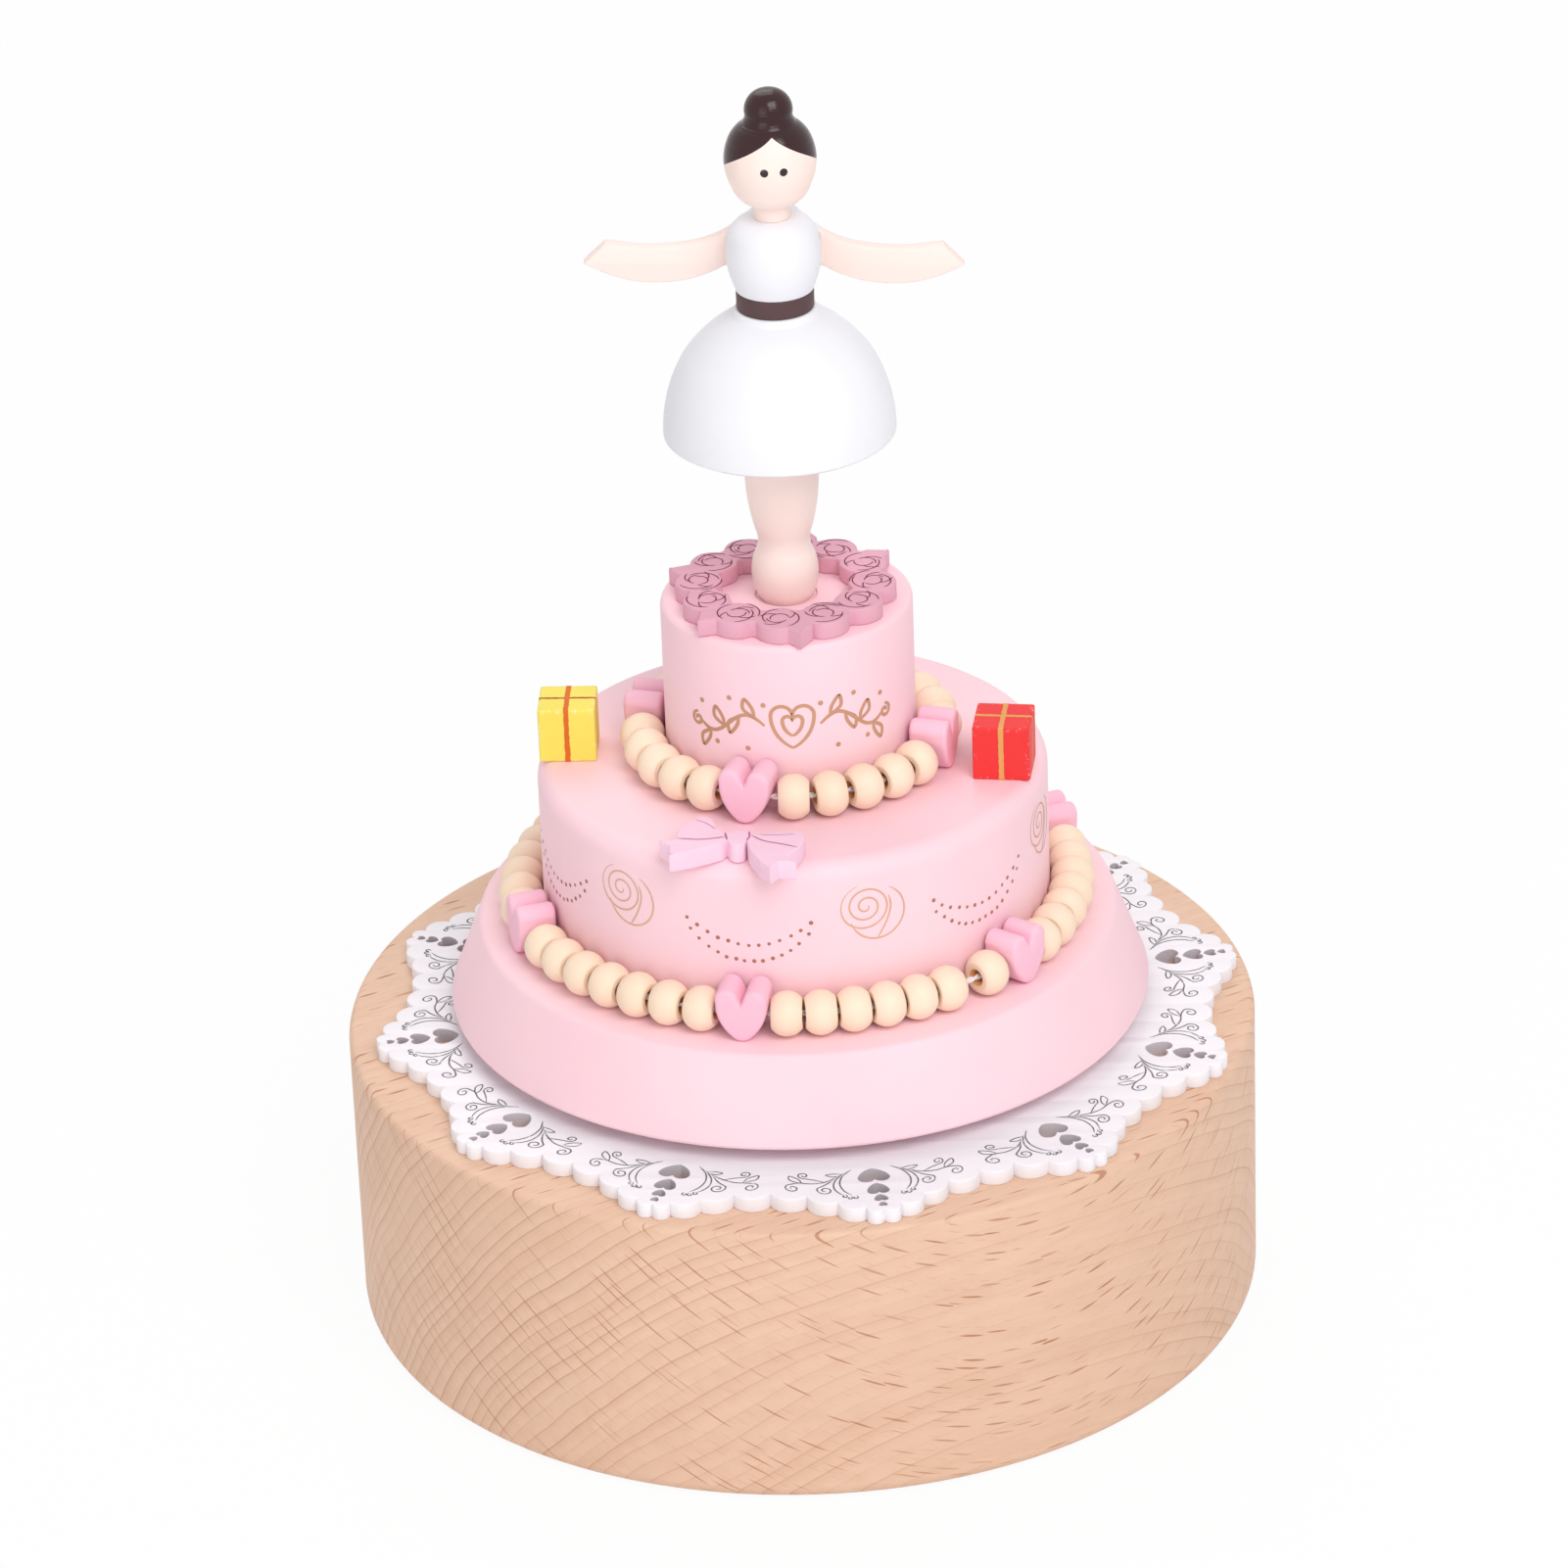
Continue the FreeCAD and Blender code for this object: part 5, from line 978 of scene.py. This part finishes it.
def gift(name, node, look, x, y, turn, ribbons):
    """A painted cube with rubbed edges and painted ribbons."""
    half = GIFT_SIZE / 2
    place = Matrix.Translation((x, y, foot_of(node) + half)) @ spin(turn)
    verts, faces, worn = gift_mesh()
    box = piece(name, node, [look], [place @ v for v in verts], faces, crease=180)
    box.data.attributes.new("edge", "FLOAT", "POINT").data.foreach_set("value", worn)
    rim = resampled(softened([Vector(corner) * half for corner in CORNERS], GIFT_EDGE), 0.35)
    centre = place @ Vector((0, 0, 0))
    for label, ribbon, width, across, lift in ribbons:
        verts = []
        for point in rim:
            out = point * (1 + lift / half)
            one, two = (width / 2 + chance.uniform(-0.05, 0.05) for _ in range(2))
            for sway in (-one, two):
                spot = (sway, out.x, out.y) if across == "x" else (out.x, sway, out.y)
                verts.append(tuple(place @ Vector(spot)))
        count = len(verts)
        faces = [(n, n + 1, (n + 3) % count, (n + 2) % count) for n in range(0, count, 2)]
        marks(name + "_" + label, node, ribbon, [(verts, faces)], lambda p: p - centre)


bow()
gift("gift_yellow", "gift_box_yellow", "yellow_paint", -29.0, 2.3, -2.0, (
    ("ribbon_across", "ribbon_thin", 0.42, "y", THIN), ("ribbon_along", "ribbon_red", 0.66, "x", THICK)))
gift("gift_red", "gift_box_red", "red_paint", 27.5, -6.85, -7.5, (
    ("ribbon_across", "ribbon_gold", 0.55, "y", THIN), ("ribbon_along", "ribbon_gold", 0.65, "x", THICK)))

# wreath

WREATH = 11.2
WREATH_SHIFT = -1.2
ROSE = 3.15
ROSES = [-4.0 + 30.0 * i for i in range(12)]
LEAVES = [7.0, -45.0, -108.0, 122.0, 170.0]
LEAF = 4.7


def wreath_edge(angle, outer):
    """Radius of the wreath's outer or inner edge at a bearing: roses, and leaves outside."""
    best = WREATH + ROSE * 0.45 if outer else WREATH - ROSE * 0.7
    for rose in ROSES:
        off = math.radians((angle - rose + 180) % 360 - 180)
        across = WREATH * math.sin(off)
        if abs(across) >= ROSE or abs(off) > 1:
            continue
        reach = math.sqrt(ROSE ** 2 - across ** 2)
        reach -= 0.13 * abs(math.sin((math.atan2(across, reach) + math.radians(rose)) * 2.5))
        middle = WREATH * math.cos(off)
        best = max(best, middle + reach) if outer else min(best, middle - reach)
    for leaf in LEAVES if outer else ():
        off = math.radians((angle - leaf + 180) % 360 - 180)
        if abs(off) > 0.2:
            continue
        for r in [WREATH + LEAF * i / 89 for i in range(90)]:
            up = r * math.cos(off) - WREATH
            if abs(r * math.sin(off)) <= LEAF * 0.39 * min(1.0, 2 - 2 * up / LEAF):
                best = max(best, r)
    return best


def rose_lines(middle, first):
    """Carved petals of one rose: arcs round its heart, and three short lines that lean outwards."""
    def ring(radius, start, stop, off=Vector((0, 0))):
        return [polar(start + (stop - start) * i / 26, radius, middle + off) for i in range(27)]
    made = [ring(2.5, first - 60, first + 60, bearing(first, 0.2)),
            ring(2.3, first + 100, first + 225, bearing(first + 160, 0.35)),
            ring(1.2, first + 10, first + 205),
            ring(1.35, first + 185, first + 335, bearing(first - 100, 0.3))]
    for bend, sweep, inside, reach in ((205, 55, 1.2, 1.45), (20, -70, 1.15, 1.4), (90, 40, 1.2, 1.2)):
        made.append([middle + bearing(first + bend + sweep * i / 12, inside + reach * i / 12)
                     for i in range(13)])
    return made


def wreath():
    """Ring of roses sawn from board, with the shade of its carved petals painted as dark lines."""
    foot, top = foot_of("rose_wreath"), top_of("rose_wreath")
    angles = [i * 0.5 for i in range(720)]
    outer = softened([bearing(a, wreath_edge(a, True)) for a in angles], 0.1)
    inner = [bearing(a, wreath_edge(a, False)) for a in angles]
    made = board_mesh(outer, [inner], top - foot, 0.26)
    piece("rose_ring", "rose_wreath", ["wreath_paint"],
          *moved(made, Matrix.Translation((0, WREATH_SHIFT, foot))))
    paths = []
    for number, rose in enumerate(ROSES):
        middle = bearing(rose, WREATH)
        paths += rose_lines(middle, rose + 40 * (number * 7 % 9))
        if number % 2:
            paths.append([polar(rose + 10 + 90 * i / 26, 2.95, middle) for i in range(27)])
    # dark lines on the top face: painted shade of the carved petals
    made = [lines_mesh(paths, 0.19, on_top(0.0, WREATH_SHIFT, top), 0.012)]
    marks("rose_carving_shade", "rose_wreath", "groove_shade_dark", made, upwards)


wreath()

# doll

FACING = 5.0
LEG = [(3.3, 0.0), via(4.32, 3.3), (3.6, 6.9), via(3.36, 8.0), (3.6, 9.6), via(4.45, 13.5),
       (4.75, 18.0), (4.7, 25.6)]
LEG_TENON = 8.0
SKIRT = [(14.88, 0.6), via(14.35, 5.3), (12.25, 10.6), via(9.35, 14.0), (5.6, 16.7), (5.2, 17.6)]
SKIRT_HOLLOW = [(0.0, 17.6), (0.0, 2.7), (5.05, 2.7), (13.88, 0.0)]
BELT_FOOT, BELT_TOP = foot_of("doll_belt"), top_of("doll_belt")
BELT = [(2.23, 0.0), (4.95, 0.0), (4.95, BELT_TOP - BELT_FOOT), (2.23, BELT_TOP - BELT_FOOT)]
TORSO = [(4.95, 0.0), (5.45, 1.5), via(6.0, 4.3), (5.75, 6.9), via(4.9, 8.8), (3.2, 9.7)]
ARMS = [(6.1, 2.5), via(10.4, 0.6), (15.2, 0.0), via(18.8, 0.4), (22.4, 1.7), (24.1, 2.5),
        (21.4, 5.2), (17.6, 4.7), via(14.3, 4.7), (11.2, 5.05), via(8.6, 5.7), (6.0, 6.95),
        via(4.2, 8.4), (2.3, 10.2)]
ARMS_FOOT = BELT_TOP - 0.7
ARMS_TILT = 2.2
ARMS_BACK = 5.0
ARMS_THICKNESS = 2.0
CUFF = 5.7
NECK = [(0.0, -1.9), (2.35, -1.9), (2.35, 0.0), (2.6, 0.05)]
HEAD_FOOT = top_of("doll_torso") + 1.9
HEAD = [(2.6, 0.0), via(4.1, 0.95), (5.05, 2.6), via(5.82, 6.1), (5.1, 9.0), via(4.4, 10.0),
        (3.05, 11.0)]
HAIR_LIFT = 0.035
EYE_OUT, EYE_UP, EYE_RADIUS = 1.23, 6.2, 0.52
BUN = [(3.5, -0.3), (3.2, 0.25), via(3.02, 0.7), (3.08, 1.3), via(2.3, 3.4), (0.0, 4.2), (0.0, 0.0)]


def torso():
    """Turned torso with the flat seat for the arm board cut in its back."""
    points = softened(traced(TORSO + [(0.0, 9.7), (0.0, 0.0)], 0.3), 0.2)
    verts, *rest = turned_mesh(points, 144)
    seat, low = ARMS_BACK - ARMS_THICKNESS - 0.03, ARMS_FOOT + 2.2 - BELT_TOP
    verts = [(x, seat if z > low and y > seat else y, z) for x, y, z in verts]
    piece("torso", "doll_torso", ["white_paint"], *raised((verts, *rest), BELT_TOP))


def mirrored(points):
    """The points on the other side of the upright axis."""
    return [Vector((-p.x, p.y)) for p in points]


def arms():
    """Arm board: white sleeves near the body, skin beyond. Each arm starts at the corner of its
    sleeve, in place of the first point of its outline."""
    half = traced(ARMS, 0.3, closed=False)
    split = next(i for i, p in enumerate(half) if p.x <= CUFF)
    above, rest = half[1:split], half[split:]
    last, following = above[-1], rest[0]
    shoulder = last.lerp(following, (last.x - CUFF) / (last.x - following.x))
    low = Vector((CUFF, half[0].y))
    reach = resampled([low] + above + [shoulder], 0.6)
    chest = [shoulder] + rest
    chest += mirrored(reversed(chest)) + mirrored([low]) + [low]
    made = [board_mesh(outline, [], ARMS_THICKNESS, 0.2) for outline in (reach, mirrored(reach), chest)]
    made[2] = (*made[2][:2], [1] * len(made[2][1]), made[2][3])
    middle = 10.2 / 4
    place = (Matrix.Translation((0, ARMS_BACK, ARMS_FOOT + middle)) @ spin(ARMS_TILT, "Y")
             @ spin(90, "X") @ Matrix.Translation((0, -middle, 0)))
    piece("arms", "doll_arms", ["skin_paint", "white_paint"], *moved(joined(made), place))


def hairline(off):
    """Level of the hair's edge at a bearing from the face, above the foot of the head."""
    off = abs((off + 180) % 360 - 180)
    if off < 90:
        return 10.3 - 4.95 * (off / 90) ** 0.95
    return 5.35 - 1.5 * math.sin(math.radians(off - 90))


BALL = traced(HEAD, 0.15, closed=False)


def girth(level):
    """Radius of the head at a level."""
    for lower, upper in zip(BALL, BALL[1:]):
        if level <= upper.y:
            share = (level - lower.y) / max(1e-9, upper.y - lower.y)
            return lower.x + (upper.x - lower.x) * max(0.0, share)
    return BALL[-1].x


def head():
    """Turned head on its neck. The painted hair starts at a parting over the face."""
    neck = softened([Vector(p) for p in NECK], 0.2, closed=False)
    columns, below, above = 192, 40, 34
    tall = BALL[-1].y
    rows = len(neck) + below + above + 1
    verts, faces, picks = [], [], []
    for k in range(columns):
        angle = 360.0 * k / columns
        edge = hairline(angle - FACING)
        column = [(p.x, p.y) for p in neck]
        for level in [edge * (i / below) ** 1.15 for i in range(1, below + 1)]:
            column.append((girth(level), level))
        for i in range(1, above + 1):
            level = edge + (tall - edge) * (1 - (1 - i / above) ** 1.1)
            column.append((girth(level) + HAIR_LIFT * min(1.0, i / 2), level))
        column.append((0.0, tall))
        verts += [(*bearing(angle, r), z + HEAD_FOOT) for r, z in column]
        one, two = k * rows, (k + 1) % columns * rows
        for i in range(rows - 1):
            faces.append((one + i, two + i, two + i + 1, one + i + 1))
            picks.append(1 if i >= len(neck) + below - 1 else 0)
    piece("head", "doll_head", ["skin_paint", "brown_paint"], verts, faces, picks)


def eyes():
    """Two domed dots of paint."""
    def place(across, up, lift):
        radius = girth(EYE_UP + up) + lift
        x, y = bearing(FACING + math.degrees(across / radius), radius)
        return (x, y, HEAD_FOOT + EYE_UP + up)
    sides = 24
    made = []
    for side in (-1, 1):
        middle = (side * EYE_OUT, 0.0)
        verts = [place(*polar(360 / sides * k, EYE_RADIUS * share, middle), lift)
                 for share, lift in ((1.0, 0.012), (0.8, 0.05), (0.4, 0.075)) for k in range(sides)]
        verts.append(place(*middle, 0.08))
        faces = [(a + k, a + (k + 1) % sides, a + sides + (k + 1) % sides, a + sides + k)
                 for a in (0, sides) for k in range(sides)]
        faces += [(2 * sides + k, 2 * sides + (k + 1) % sides, 3 * sides) for k in range(sides)]
        made.append((verts, faces))
    marks("eyes", "doll_head", "eye_paint", made, away)


turned("legs", "doll_legs", ["skin_paint"], foot_of("doll_legs") + LEG_TENON,
       LEG + [(0.0, 25.6), (0.0, 0.0)], 144, 0.3)
turned("skirt", "doll_skirt", ["white_paint"], foot_of("doll_skirt"), SKIRT + SKIRT_HOLLOW, 256, 0.3)
turned("belt", "doll_belt", ["belt_paint"], BELT_FOOT, BELT, 144)
torso()
arms()
head()
eyes()
turned("bun", "doll_bun", ["brown_paint"], top_of("doll_head"), BUN, 144, 0.15)

# the movement and the cover keep their CAD shapes

for node, slot in SLOT_OF.items():
    shown = frame["nodes"][node]
    if shown.hide_render:
        continue
    if not shown.material_slots:
        shown.data.materials.append(LOOKS[slot])
    for material_slot in shown.material_slots:
        material_slot.material = LOOKS[slot]

# stage, in metres

FLOOR_REACH = 3.0
FLOOR_DROP = 0.00004


def floor():
    """Pale floor that keeps the shadow."""
    mesh = bpy.data.meshes.new("floor")
    corners = [(x * FLOOR_REACH, y * FLOOR_REACH, -FLOOR_DROP) for x, y in CORNERS]
    mesh.from_pydata(corners, [], [(0, 1, 2, 3)])
    obj = bpy.data.objects.new("floor", mesh)
    bpy.context.collection.objects.link(obj)
    material = bpy.data.materials.new("floor_white")
    nodes = Nodes(material)
    nodes.tree.nodes.clear()
    pale = nodes.node("BsdfDiffuse", {"Color": (0.9, 0.9, 0.9, 1)})
    white = nodes.node("Emission", {"Color": (1, 1, 1, 1), "Strength": 1.0})
    nodes.finish("OutputMaterial", nodes.times(nodes.seen(), 0.94), pale, white)
    mesh.materials.append(material)


def background(ambient):
    """White where it is seen, plain soft light elsewhere."""
    world = bpy.data.worlds.new("studio")
    bpy.context.scene.world = world
    nodes = Nodes(world)
    nodes.tree.nodes.clear()
    plain, bright = (nodes.node("Background", {"Color": (1, 1, 1, 1), "Strength": strength})
                     for strength in (ambient, 1.0))
    nodes.finish("OutputWorld", nodes.seen(), plain, bright)


def lamp(name, spot, aim, size, watts):
    """A large soft lamp."""
    light = bpy.data.lights.new(name, "AREA")
    light.size = size
    light.energy = watts
    obj = bpy.data.objects.new(name, light)
    bpy.context.collection.objects.link(obj)
    obj.location = spot
    obj.rotation_euler = (Vector(aim) - Vector(spot)).to_track_quat("-Z", "Y").to_euler()


def camera():
    """The photograph's view: 26.9 degrees down, rolled a little, with a long lens."""
    eye = Vector((0.011433, -0.843937, 0.499851))
    aim = Vector((-0.001192, 0.0, 0.072257))
    roll = -2.155
    focal_pixels, photo_pixels = 7399.44, 1601
    data = bpy.data.cameras.new("camera")
    data.sensor_width = 36.0
    data.lens = focal_pixels / photo_pixels * data.sensor_width
    data.clip_start = 0.05
    data.clip_end = 20
    obj = bpy.data.objects.new("camera", data)
    bpy.context.collection.objects.link(obj)
    looking = (aim - eye).to_track_quat("-Z", "Y").to_matrix().to_4x4()
    obj.matrix_world = Matrix.Translation(eye) @ looking @ spin(roll)
    bpy.context.scene.camera = obj


floor()
background(0.55)
lamp("key", (0.36, -0.75, 0.95), (0, 0, 0.07), 0.7, 7.3)
lamp("fill", (-0.5, -1.0, 0.3), (0, 0, 0.1), 0.7, 1.9)
lamp("back", (-0.2, 0.7, 0.95), (0, 0, 0.06), 0.8, 2.8)
camera()
bpy.context.scene.view_settings.view_transform = "Standard"
